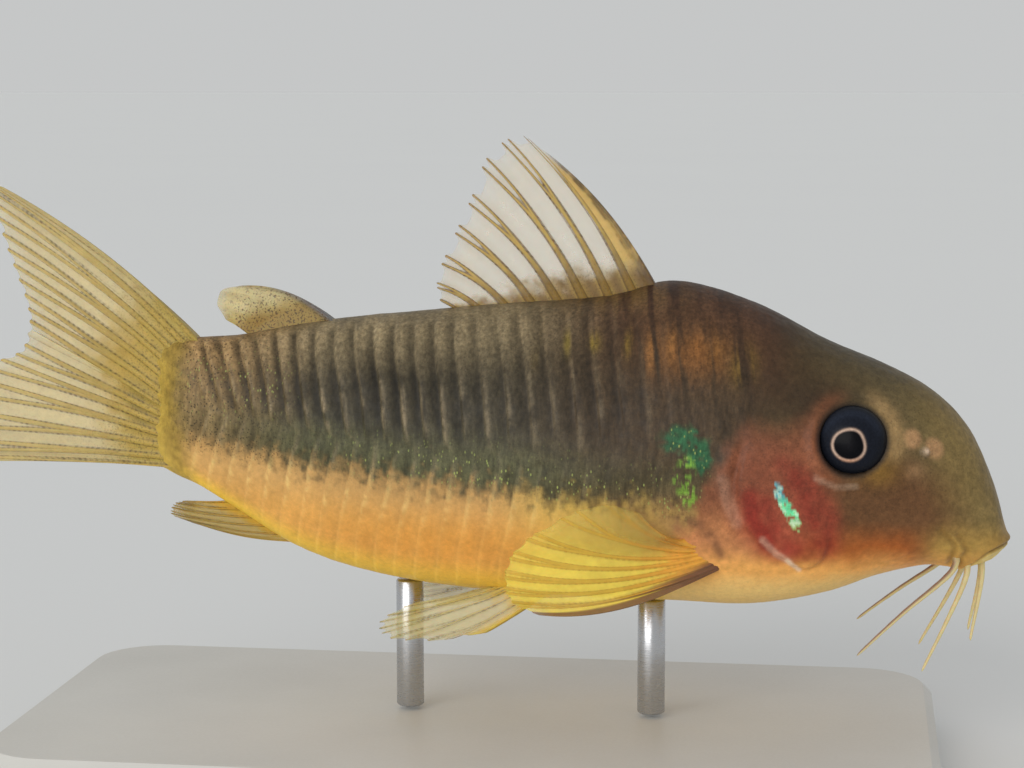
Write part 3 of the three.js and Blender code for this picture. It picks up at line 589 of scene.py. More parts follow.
def trunk_colours(P, S, up, masks, medium, fine):
    """The plated trunk: a dark flank over an orange belly, with a ragged border between them."""
    X, Y, Z = np.moveaxis(P, -1, 0)
    f, plated = masks["plate"], masks["plated"]
    s = section(X)
    share = np.clip((Z - s["belly"]) / np.maximum(s["back"] - s["belly"], 0.5), 0, 1)
    streaks = noise.layers(np.stack([S * 2.6, up * 3.0, np.sign(Y) * 9], -1), 1.0)
    rear, front = smooth(X, -9.0, -19.0), smooth(X, 1.0, 11.0)
    border = np.interp(X, *FLANK_BORDER)
    saw = 0.9 * (f - 0.5) * plated * (up < LATERAL_LINE)
    dark = smooth(Z - border - saw + 2.2 * (fine - 0.5) + 1.2 * (streaks - 0.5), -1.2, 1.2)

    side = paint(
        FLANK,
        (rear, FLANK_REAR),
        (front, FLANK_FRONT),
        # The back's own olive tone, made lighter by painted light from above
        (smooth(share, 0.74, 1.0), paint(BACK_WITH_TOP_LIGHT, (rear, BACK_REAR), (front, BACK_FRONT))),
        (0.75 * bump(Z - border - 1.5, 1.7) * (1 - 0.6 * rear) * (1 - 0.5 * front), OLIVE),
    )
    # Painted shade at the front of each plate, under the raised rear edge of the plate ahead, multiplied with
    # the skin's own streaks of tone
    gap_shade = plated * smooth(f, 0.6, 0.15) * smooth(f, -0.05, 0.08)
    shade = (0.62 + 0.76 * streaks) * (1 - 0.6 * gap_shade) * (0.78 + 0.44 * medium)
    # Painted highlight along the raised rear edge of each plate, stronger on the lower plates
    lit = bump(f - 0.84, 0.13) * plated * smooth(medium, 0.3, 0.55) * smooth(streaks, 0.2, 0.55)
    low_plates = smooth(share, 0.85, 0.55) * (1 - 0.6 * front) + 0.35
    lit_streaks = 0.85 * smooth(streaks, 0.3, 0.6)
    side = paint(
        side * shade[..., None],
        (0.85 * lit * low_plates, PLATE_EDGE_HIGHLIGHT),
        *((lit_streaks * blob(P, *spot), srgb(*color)) for *spot, color in FLANK_FLECKS),
    )

    # Painted highlight along the raised rear edge of each belly plate, below the border
    edges = bump(f - 0.86, 0.13) * plated * smooth(border - Z, 3.6, 1.2) * smooth(fine, 0.35, 0.6)
    belly = paint(
        BELLY,
        (smooth(Z - border, -3.5, -0.5), BELLY_HIGH),
        (0.9 * smooth(X, 1.0, 8.0) * smooth(Z, 13.5, 16.0), BELLY_FRONT),
        (0.7 * blob(P, -2.0, 15.4, 9.5, 2.2) * (1 - np.abs(2 * f - 1) * plated), BELLY_BLUSH),
        (smooth(share, 0.16, 0.02), BELLY_YELLOW),
        (edges, BELLY_EDGE_HIGHLIGHT),
    )
    # Painted shade at the front of each belly plate, multiplied with the skin's own streaks of tone
    shade = (1 - 0.14 * plated * smooth(f, 0.3, 0.0)) * (0.92 + 0.16 * streaks)
    ragged = X + 0.8 * (medium - 0.5)
    tail_root = TAIL_ROOT * (0.6 + 0.8 * fine[..., None])
    trunk = paint(
        belly * shade[..., None],
        (dark, side),
        (0.85 * blob(P, 13.6, 17.5, 4.2, 1.4) * (0.6 + 0.8 * medium), SHADED),
        (0.9 * smooth(ragged - 0.4 * np.abs(Z - 23.5) / 3, -18.6, -20.3), tail_root),
        (smooth(ragged, -19.8, -21.0), TAIL_END),
        (0.7 * near_line(P, SHOULDER_STROKE, 0.32) * smooth(fine, 0.2, 0.5), STROKE),
    )
    return trunk, dark, border


def head_colours(P, masks, coarse, medium):
    """The head: olive brown above, red round the gill cover, orange cheek and pale throat below."""
    X, _, Z = np.moveaxis(P, -1, 0)
    eye = masks["eye"]
    height = Z + 1.3 * (coarse - 0.5)
    low = smooth(height, 18.0, 15.6)
    near_gill = smooth(masks["gill"], -1.5, 0.7) * smooth(height, 14.6, 16.0) * smooth(Z, 23.4, 20.5)
    near_gill = near_gill * (1 - 0.6 * smooth(Z, 18.5, 20.5)) * (0.35 + 1.2 * coarse)
    return paint(
        HEAD_TOP,
        (smooth(X + 0.8 * (Z - 24), 23.0, 29.0), FOREHEAD),
        (smooth(X, 22.5, 17.5) * smooth(Z, 23.5, 26.5), NAPE),
        # Painted shade above and behind the eye
        (0.8 * blob(P, 21.6, 25.2, 2.4, 1.3), TEMPLE_SHADE),
        (smooth(height, 23.0, 19.5), CHEEK),
        (0.85 * smooth(X, 24.0, 21.5) * smooth(height, 24.6, 22.5), CHEEK_REAR),
        (smooth(X + 0.35 * (Z - 20), 28.0, 32.0), SNOUT),
        (smooth(X, 27.5, 30.5) * low, SNOUT_LOW),
        (smooth(X, 30.0, 27.0) * low, CHEEK_ORANGE),
        (smooth(X, 20.5, 17.5) * smooth(height, 19.6, 16.6), SHOULDER),
        (smooth(height + 0.06 * (X - 20), 16.5, 14.3), THROAT),
        (smooth(height, 14.6, 12.8) * smooth(X, 30.0, 25.0), BREAST),
        (0.85 * near_gill, GILL_RED),
        *strokes(P, DEEP_REDS, GILL_DEEP, 1 + 1.4 * (medium - 0.5), 0.0, 1.1),
        (0.5 * masks["lip"], LIP),
        (0.9 * masks["lower_lip"], LOWER_LIP),
        # Painted shade in the slit of the mouth and in the folds at its corner
        (0.75 * masks["mouth"], FOLD_SHADE),
        (0.85 * masks["nares"], NARES),
        # A pale painted glint on the raised nostril flap
        (0.9 * masks["flap"], PALE),
        (0.35 * blob(P, 28.1, 20.9, 0.6, 0.5), NARES),
        (0.7 * near_line(P, SHOULDER_STROKE, 0.32) * smooth(medium, 0.2, 0.5), STROKE),
        (0.5 * bump(eye - 2.7, 0.5) * smooth(X, 24.5, 22.5), BEHIND_EYE),
        (0.75 * bump(eye - 2.75, 0.55) * smooth(X, 24.6, 26.2) * smooth(Z, 20.8, 22.2), AHEAD_OF_EYE),
        (0.7 * blob(P, 26.0, 20.9, 1.1, 0.9), BELOW_EYE),
        # Painted shade round the eye, where the skin sinks into the socket
        (0.92 * smooth(eye, 2.5, 2.0), SOCKET_SHADE),
    )


def shining_patches(tint, P, medium, fine, flank_mask, border):
    """The green patch behind the gills, the streak on the gill cover and the small bright marks."""
    X, _, Z = np.moveaxis(P, -1, 0)
    visible = on_sides(P)
    patch = np.maximum(blob(P, 14.0, 22.75, 1.3, 0.85), blob(P, 14.9, 21.6, 0.8, 1.0))
    patch = smooth(patch * (1 + 2.4 * (fine - 0.5) + 1.4 * (medium - 0.5)), 0.2, 0.7) * visible
    specks = smooth(near_line(P, LIME_LINE, 0.75), 0.3, 0.9) * visible
    specks = specks * smooth(noise.layers(P + 63, 0.2, 2), 0.5, 0.6)
    facets = noise.layers(P + 23, 0.3, 2)
    streak = near_line(P, GILL_STREAK, 0.38) * (1 + 3.4 * (facets - 0.5))
    streak = smooth(streak, 0.42, 0.62) * visible
    tint = paint(
        tint,
        (0.9 * patch, GREEN * (0.3 + 1.3 * noise.layers(P + 5, 0.25, 2)[..., None])),
        (0.9 * specks, LIME),
        (streak, mix(BLUE, CYAN, smooth(Z, 19.6, 18.8)[..., None])),
        (streak * smooth(Z, 18.4, 17.4), MOSS),
        (0.6 * streak * smooth(facets, 0.55, 0.65), GLEAM),
        *strokes(P, PALE_LINES, PALE, 1 + 0.8 * (fine - 0.5), 0.05, 0.95),
    )
    band = bump(Z - border - 1.0, 1.5) * smooth(X, -12, -4)
    tail_specks = bump(Z - 25.2, 1.8) * smooth(X, -10.0, -14.5) * smooth(X, -20.0, -18.0)
    return tint, np.clip((band + 0.9 * tail_specks) * flank_mask + 0.8 * patch + specks + 0.5 * streak, 0, 1)


def skin_colours(P, S, up, masks):
    """The skin's colour, and how much its fine marks show: glints, pepper, strokes and grain."""
    X, _, Z = np.moveaxis(P, -1, 0)
    coarse = noise.layers(P, 2.2)
    medium = noise.layers(P + 17, 0.9)
    fine = noise.layers(P + 31, 0.36, 2)
    trunk, dark, border = trunk_colours(P, S, up, masks, medium, fine)
    head = head_colours(P, masks, coarse, medium)
    edge_of_head = 14.2 + 0.5 * (np.clip(Z, 14, 24) - 17.5)
    blend = smooth(X - edge_of_head + 1.4 * (medium - 0.5), -0.6, 0.9 + 2.5 * smooth(Z, 23, 26))
    flank_mask = dark * (1 - blend)
    tint, spark = shining_patches(paint(trunk, (blend, head)), P, medium, fine, flank_mask, border)
    spread = (0.1 + 0.12 * blend)[..., None]
    tint = tint * (0.84 + 0.32 * coarse[..., None]) * (1 + 2 * spread * (fine[..., None] - 0.5))
    before_tail = smooth(X, -21.0, -18.6)
    pepper = (0.35 + 0.65 * smooth(X, -9.0, -17.0) * before_tail) * before_tail
    pepper = pepper * smooth(Z - border, -1.4, 0.6) * (1 - blend)
    return tint, {
        "spark": spark,
        "pepper": pepper + 0.3 * blend * smooth(Z, 16, 20),
        "streaked": flank_mask * smooth(X, -20.5, -18.5),
        "grain": 0.4 + 0.6 * np.maximum(flank_mask, 0.9 * blend * smooth(Z, 15, 18)),
    }


# Shader graphs


class Graph:
    """A small helper for building one material's nodes."""

    def __init__(self, name):
        self.material = bpy.data.materials.new(name)
        self.material.use_nodes = True
        self.tree = self.material.node_tree
        self.shader = self.tree.nodes["Principled BSDF"]

    def node(self, kind, inputs=(), **settings):
        made = self.tree.nodes.new(kind)
        for key, value in settings.items():
            setattr(made, key, value)
        for key, value in dict(inputs).items():
            self.plug(made.inputs[key], value)
        return made

    def plug(self, socket, value):
        if isinstance(value, bpy.types.NodeSocket):
            self.tree.links.new(value, socket)
        elif isinstance(value, np.ndarray):
            socket.default_value = (*value.tolist(), 1.0)
        else:
            socket.default_value = value

    def set(self, **inputs):
        for key, value in inputs.items():
            self.plug(self.shader.inputs[key.replace("_", " ")], value)

    def attribute(self, name, output="Fac"):
        return self.node("ShaderNodeAttribute", attribute_name=name).outputs[output]

    def texture(self, kind, output, scale, stretch=None, **inputs):
        """A texture in object coordinates, drawn out in height by a stretch below 1, flattened above 1."""
        place = self.node("ShaderNodeTexCoord").outputs["Object"]
        if stretch:
            place = self.node("ShaderNodeMapping", {"Vector": place, "Scale": (1.0, 1.0, stretch)}).outputs[0]
        return self.node(kind, {"Vector": place, "Scale": scale, **inputs}).outputs[output]

    def noise(self, scale, detail=3.0, roughness=0.55, stretch=None):
        inputs = {"Detail": detail, "Roughness": roughness}
        return self.texture("ShaderNodeTexNoise", "Fac", scale, stretch, **inputs)

    def cells(self, scale, stretch=None):
        return self.texture("ShaderNodeTexVoronoi", "Distance", scale, stretch)

    def ramp(self, value, low, high, first=0.0, second=1.0):
        inputs = {"Value": value, "From Min": low, "From Max": high, "To Min": first, "To Max": second}
        return self.node("ShaderNodeMapRange", inputs, clamp=True).outputs["Result"]

    def math(self, operation, a, b=0.0):
        return self.node("ShaderNodeMath", {0: a, 1: b}, operation=operation).outputs[0]

    def product(self, *values):
        return functools.reduce(functools.partial(self.math, "MULTIPLY"), values)

    def greatest(self, *values):
        return functools.reduce(functools.partial(self.math, "MAXIMUM"), values)

    def eased(self, factor, share):
        """A factor, brought nearer to 1 as its share falls."""
        return self.math("ADD", 1.0, self.product(self.math("SUBTRACT", factor, 1.0), share))

    def mix(self, factor, a, b, blend="MIX"):
        made = self.node("ShaderNodeMix", {0: factor, 6: a, 7: b}, data_type="RGBA", blend_type=blend)
        return made.outputs[2]

    def scaled(self, color, factor):
        grey = self.node("ShaderNodeCombineColor", {0: factor, 1: factor, 2: factor}).outputs[0]
        return self.mix(1.0, color, grey, "MULTIPLY")

    def bump(self, height, strength, distance):
        inputs = {"Height": height, "Strength": strength, "Distance": distance}
        return self.node("ShaderNodeBump", inputs).outputs["Normal"]


def skin_material():
    g = Graph("skin")
    mottle = g.ramp(g.noise(3200.0, 4.0, 0.65), 0.34, 0.66, 1.16, 0.82)
    fine = g.ramp(g.noise(9000.0, 2.0), 0.35, 0.65, 1.07, 0.93)
    strokes = g.ramp(g.noise(4600.0, 3.0, 0.5, 0.22), 0.36, 0.64, 0.8, 1.22)
    uneven = g.eased(g.product(mottle, fine), g.attribute("grain"))
    strokes = g.eased(strokes, g.attribute("streaked"))
    color = g.scaled(g.attribute("tint", "Color"), g.product(uneven, strokes))
    cells = g.cells(5600.0)
    patchy = g.ramp(g.noise(2100.0, 2.0), 0.36, 0.56)
    pepper = g.product(g.ramp(cells, 0.42, 0.22), patchy, g.attribute("pepper"), 0.75)
    color = g.mix(pepper, color, srgb(38, 32, 24))
    patchy = g.ramp(g.noise(1100.0, 2.0), 0.44, 0.56)
    glints = g.product(g.ramp(g.cells(4300.0, 0.55), 0.28, 0.14), patchy, g.attribute("spark"))
    g.set(
        Base_Color=g.mix(glints, color, srgb(158, 168, 92)),
        Roughness=g.ramp(g.noise(1500.0), 0.3, 0.7, 0.4, 0.58),
        Specular_IOR_Level=0.18,
        Normal=g.bump(g.math("ADD", g.noise(5200.0), g.product(cells, 0.3)), 0.25, 0.00005),
        Coat_Weight=0.04,
        Coat_Roughness=0.22,
        Subsurface_Weight=0.06,
        Subsurface_Scale=0.0008,
        Subsurface_Radius=(1.0, 0.42, 0.2),
    )
    return g.material


def eye_material():
    g = Graph("eye")
    color = g.scaled(g.attribute("tint", "Color"), g.ramp(g.noise(7000.0), 0.35, 0.65, 0.8, 1.12))
    g.set(Base_Color=color, Roughness=0.3, Specular_IOR_Level=0.07, Coat_Weight=0.02, Coat_Roughness=0.05)
    return g.material


def fin_material():
    """Thin skin between fin rays. Each ray is a band with a dotted dark line down either edge."""
    g = Graph("fin")
    phase = g.math("FRACT", g.math("ADD", g.attribute("place"), 0.5))
    phase = g.math("ABSOLUTE", g.math("SUBTRACT", phase, 0.5))
    off = g.math("ABSOLUTE", g.math("SUBTRACT", phase, g.attribute("fork")))
    inside = g.math("SUBTRACT", g.attribute("half"), g.product(off, g.attribute("spacing")))
    core = g.product(g.ramp(inside, -0.02, 0.04), g.attribute("rayed"))
    beads = g.ramp(g.math("SINE", g.product(g.attribute("along"), 17.0)), -0.5, 0.5, 0.5, 1.0)
    broken = g.ramp(g.noise(2600.0), 0.36, 0.58, 0.35, 1.0)
    beads = g.greatest(g.product(beads, broken), g.attribute("solid"))
    line = g.product(g.ramp(g.math("ABSOLUTE", inside), 0.08, 0.02), beads, g.attribute("lined"))
    speck = g.product(g.ramp(g.noise(7600.0), 0.52, 0.66), g.attribute("speckled"))
    line_tint = g.attribute("line_tint", "Color")
    color = g.mix(core, g.attribute("tint", "Color"), g.attribute("ray_tint", "Color"))
    color = g.mix(speck, g.mix(line, color, line_tint), line_tint)
    ray_cover = g.product(core, g.attribute("ray_cover"))
    g.set(
        Base_Color=g.scaled(color, g.ramp(g.noise(2200.0), 0.35, 0.65, 0.95, 1.04)),
        Alpha=g.greatest(g.attribute("cover"), ray_cover, g.product(line, 0.85), g.product(speck, 0.8)),
        Roughness=0.45,
        Specular_IOR_Level=0.3,
        Subsurface_Weight=0.15,
        Subsurface_Scale=0.0006,
        Normal=g.bump(g.noise(4200.0), 0.2, 0.00004),
    )
    return g.material


def barbel_material():
    g = Graph("barbel")
    mottle = g.ramp(g.noise(2500.0), 0.4, 0.7, 0.0, 0.14)
    g.set(
        Base_Color=g.mix(mottle, g.attribute("tint", "Color"), srgb(120, 90, 72)),
        Roughness=0.45,
        Specular_IOR_Level=0.35,
        Coat_Weight=0.1,
        Coat_Roughness=0.2,
        Subsurface_Weight=0.2,
        Subsurface_Scale=0.0006,
        Normal=g.bump(g.noise(3500.0), 0.25, 0.00005),
    )
    return g.material


def stand_material():
    g = Graph("stand_base")
    fine = g.noise(5200.0, 2.0)
    color = g.mix(g.ramp(g.noise(60.0), 0.3, 0.7), srgb(214, 212, 206), srgb(204, 202, 196))
    g.set(Base_Color=color, Roughness=g.ramp(fine, 0.3, 0.7, 0.36, 0.5), Normal=g.bump(fine, 0.08, 0.00004))
    return g.material


def rod_material():
    g = Graph("stand_rod")
    rings = g.noise(900.0, 3.0, 0.5, 14.0)
    g.set(
        Base_Color=srgb(196, 197, 200),
        Metallic=1.0,
        Roughness=g.ramp(rings, 0.3, 0.7, 0.22, 0.38),
        Normal=g.bump(rings, 0.1, 0.00003),
    )
    return g.material


def floor_material():
    g = Graph("floor")
    color = g.mix(g.noise(6.0), srgb(231, 232, 232), srgb(233, 234, 234))
    g.set(Base_Color=color, Roughness=0.8, Specular_IOR_Level=0.1)
    return g.material


# Eyes

EYE_RINGS, EYE_SIDES = 110, 128
EYE_OPENING = math.pi * 0.62
IRIS_RADIUS, IRIS_WIDTH = 0.98, 0.085


def build_eye(side, material):
    """A flattened ball with a thin pale ring round a dark pupil, open at the back inside the head."""
    turn = Vector((0, 0, 1)).rotation_difference(Vector(eye_axis(side)))
    turns = np.arange(EYE_SIDES) / EYE_SIDES * TAU
    T, F = np.meshgrid(np.linspace(0.001, EYE_OPENING, EYE_RINGS), turns, indexing="ij")
    r = np.sin(T) * EYE["radius"]
    local = np.stack([r * np.cos(F), r * np.sin(F), np.cos(T) * EYE["depth"]], -1)
    P = local @ np.array(turn.to_matrix()).T
    up = P[..., 2]
    off = np.hypot(P[..., 0] - EYE_PUPIL[0], up - EYE_PUPIL[1])
    pupil = off + 0.03 * np.sin(3 * F + 1)
    ring = bump(pupil - IRIS_RADIUS, IRIS_WIDTH)
    tint = paint(
        srgb(26, 29, 38),
        (smooth(r, 1.4, 2.0), srgb(20, 22, 28)),
        (0.5 * bump(r - 1.75, 0.25) * smooth(up, 0.0, 1.2), srgb(44, 50, 64)),
        (0.95 * ring, srgb(200, 170, 150)),
        (0.8 * ring * smooth(-up, 0.6, 1.4), srgb(202, 130, 84)),
        (smooth(pupil, 0.9, 0.82), srgb(8, 8, 12)),
        # A faint painted glow in the middle of the pupil
        (0.08 * bump(off, 0.4), srgb(70, 66, 72)),
    )
    verts = with_ends(swim(P + eye_spot(side)), 1)
    faces = tube_faces(EYE_RINGS, EYE_SIDES, 1)
    eye = new_mesh(f"eyeball_{SIDES[side]}", verts, faces, material, {"tint": with_ends(tint, 1)})
    face_outwards(eye)
    add_piece(eye, "eye", f"eye_{SIDES[side]}")


# Fins: root line, tips and bow as in the part. Half is a ray's half width in mm at its root and its end,
# fork how far apart its branches end in ray spacings, and fork_from where along the ray they part.
# Notch is how far the edge is cut in between rays and spike how broad the rays' ends are. Spine and
# spine_width are the front ray's thickness, and swell thickens the root. The base colour reaches base_reach
# of the fin's length. Cover, ray_cover, lined, solid and halo are how much skin, rays, their dark edge lines,
# unbroken edge lines and a glow round the rays show.

PLAIN_FIN = {
    "spike": 0.12, "spine": 1.4, "spine_width": 0.3, "half": (0.12, 0.07), "fork": 0.22, "swell": 0.28,
    "base_reach": 0.4, "base_rear": 1.0, "solid": 0.0, "halo": 0.0,
}
TAIL_LOBE = {
    "rays": 7, "notch": 0.02, "spine": 1.3, "half": (0.22, 0.15), "fork": 0.25, "fork_from": 0.12,
    "membrane": (228, 208, 148), "ray": (206, 182, 110), "line": (100, 84, 44), "base": (184, 154, 68),
    "swell": 0.42, "cover": 0.6, "ray_cover": 0.8, "lined": 0.85,
}
FINS = {
    "dorsal_fin": {
        "root": ((12.2, 0, 30.6), (-0.6, 0, 29.2)),
        "tips": (
            (4.3, 0, 40.4), (2.8, 0, 41.3), (0.9, 0, 40.2), (-0.4, 0, 37.2), (-1.6, 0, 34.6), (-2.6, 0, 32.0),
            (-2.4, 0, 30.5),
        ),
        "rays": 9, "notch": 0.06, "spike": 0.1, "spine": 1.9, "spine_width": 0.6,
        "bow": (0.8, 0.2), "axis": (0.6, 0, 0.8), "half": (0.3, 0.06), "fork": 0.13, "fork_from": 0.35,
        "membrane": (236, 222, 192), "ray": (200, 168, 80), "line": (96, 70, 38), "base": (120, 88, 30),
        "base_reach": 0.36, "base_rear": 0.5, "cover": 0.26, "ray_cover": 0.75, "lined": 1.0, "solid": 0.7,
        "halo": 0.75,
    },
    "tail_fin_upper": {
        **TAIL_LOBE,
        "root": ((-17.6, 0, 27.0), (-20.6, 0, 23.3)),
        "tips": (
            (-31.6, 0, 38.0), (-32.8, 0, 38.2), (-32.0, 0, 36.3), (-31.3, 0, 34.2), (-30.6, 0, 32.2),
            (-30.0, 0, 30.2), (-29.8, 0, 28.55),
        ),
        "spine_width": 0.25, "bow": (0.75, 0), "axis": (0.5, 0, 0.85), "base_reach": 0.54,
    },
    "tail_fin_lower": {
        **TAIL_LOBE,
        "root": ((-20.6, 0, 23.3), (-19.0, 0, 19.3)),
        "tips": (
            (-29.8, 0, 28.55), (-30.4, 0, 27.1), (-32.3, 0, 26.2), (-34.4, 0, 24.8), (-36.0, 0, 22.6),
            (-36.6, 0, 20.6), (-35.2, 0, 19.5),
        ),
        "spine_width": 0.1, "bow": (0, 0.2), "axis": (0, 0, 1), "base_reach": 0.48,
    },
    "anal_fin": {
        "root": ((-10.6, 0, 14.6), (-16.2, 0, 17.2)),
        "tips": ((-19.4, 0, 15.7), (-20.5, 0, 16.2), (-20.4, 0, 16.8), (-19.6, 0, 17.1)),
        "rays": 6, "notch": 0.03, "spike": 0.15, "fork_from": 0.5, "bow": (0.5, 0.1), "axis": (0, 0, -1),
        "membrane": (188, 162, 76), "ray": (168, 140, 62), "line": (96, 76, 38), "base": (206, 162, 56),
        "cover": 0.7, "ray_cover": 0.9, "lined": 0.7,
    },
    "adipose_fin": {
        "root": ((-8.9, 0, 28.8), (-14.4, 0, 27.6)),
        "tips": ((-15.6, 0, 31.45), (-16.9, 0, 31.1), (-17.2, 0, 30.2), (-16.6, 0, 29.2)),
        "rays": 4, "notch": 0.0, "spike": 0.2, "spine": 1.9, "spine_width": 0.4,
        "bow": (0.8, 0.1), "axis": (0, 0, 1), "half": (0.0, 0.0), "fork": 0.0, "fork_from": 0.5,
        "membrane": (216, 198, 128), "ray": (182, 164, 126), "line": (92, 72, 42), "base": (152, 124, 60),
        "base_reach": 0.7, "cover": 0.58, "ray_cover": 0.0, "lined": 0.0,
    },
    "pectoral_fin": {
        "root": ((16.0, 5.5, 14.5), (15.0, 5.9, 16.4)),
        "tips": (
            (5.3, 10.2, 12.2), (3.6, 10.3, 13.1), (3.2, 10.1, 14.3), (3.6, 9.6, 15.8), (5.3, 9.1, 17.3),
            (9.0, 8.6, 18.9), (11.4, 8.2, 18.4),
        ),
        "rays": 9, "notch": 0.015, "spike": 0.15, "spine": 2.4, "spine_width": 1.0,
        "bow": (1.2, 1.0), "axis": (0, 0.7, -0.7), "half": (0.16, 0.13), "fork": 0.16, "fork_from": 0.5,
        "membrane": (255, 226, 96), "ray": (222, 184, 70), "line": (158, 124, 50), "base": (240, 168, 68),
        "cover": 0.72, "ray_cover": 0.8, "lined": 0.45, "solid": 0.4,
    },
    "pelvic_fin": {
        "root": ((5.7, 3.7, 12.9), (3.6, 2.7, 12.9)),
        "tips": ((0.9, 5.6, 10.0), (-2.3, 5.8, 9.3), (-5.2, 5.4, 9.5), (-5.6, 5.0, 10.3), (-3.7, 4.2, 11.4)),
        "rays": 6, "notch": 0.04, "fork_from": 0.35, "bow": (0.4, 0.1), "axis": (0, 0, -1),
        "membrane": (222, 206, 128), "ray": (208, 186, 92), "line": (108, 92, 50), "base": (226, 190, 76),
        "cover": 0.4, "ray_cover": 0.6, "lined": 0.85,
    },
}
PAIRED = ("pectoral_fin", "pelvic_fin")
RAY_COLUMNS = 24
FIN_ROWS = 80
SKIN_HALF, RAY_RISE, SPINE_RISE, FIN_EDGE = 0.05, 0.11, 0.1, 0.01

# Colours of the fins' own marks, as screen values
DORSAL_GOLD = srgb(216, 178, 84)
DORSAL_BROWN = srgb(92, 68, 40)
DORSAL_SMUDGE = srgb(70, 60, 46)
ADIPOSE_SPINE = srgb(104, 108, 116)
ADIPOSE_BAND = srgb(226, 206, 134)
SPINE_ROOT = srgb(112, 76, 62)
SPINE_TIP = srgb(150, 110, 60)
PECTORAL_SHADE = srgb(110, 74, 50)
PECTORAL_REAR = srgb(184, 158, 88)
PELVIC_YELLOW = srgb(228, 194, 62)
ANAL_SPINE = srgb(150, 122, 52)
TAIL_CLEAR = srgb(222, 208, 168)
TAIL_OUTER = srgb(176, 156, 84)
TAIL_SHADE = srgb(112, 96, 46)


def centripetal(controls, u):
    """The centripetal Catmull-Rom curve through the controls, at uniform control steps."""
    controls = np.asarray(controls, float)
    last = len(controls) - 1
    padded = np.vstack([2 * controls[0] - controls[1], controls, 2 * controls[-1] - controls[-2]])
    i = np.clip(np.floor(u * last).astype(int), 0, last - 1)
    t = (u * last - i)[..., None]
    a, b, c, d = (padded[i + k] for k in range(4))
    ab, bc, cd = (np.sqrt(length(q - p))[..., None] for p, q in ((a, b), (b, c), (c, d)))
    leave = ((b - a) / ab - (c - a) / (ab + bc) + (c - b) / bc) * bc
    arrive = ((c - b) / bc - (d - b) / (bc + cd) + (d - c) / cd) * bc
    square = 3 * (c - b) - 2 * leave - arrive
    return b + leave * t + square * t**2 + (2 * (b - c) + leave + arrive) * t**3


def fin_surface(fin, u, v):
    """The middle surface of a left or unpaired fin: u counts from its front, v out from its root."""
    root = np.asarray(fin["root"], float)
    base = root[0] + (root[1] - root[0]) * u[..., None]
    bow = 4 * v * (1 - v) * mix(*fin["bow"], u)
    return base + (centripetal(fin["tips"], u) - base) * v[..., None] + bow[..., None] * np.array(fin["axis"])


def grid_edge(rows, columns):
    """Indices round the edge of a grid."""
    grid = np.arange(rows * columns).reshape(rows, columns)
    return np.concatenate([grid[0], grid[1:, -1], grid[-1, -2::-1], grid[-2:0:-1, 0]]).tolist()


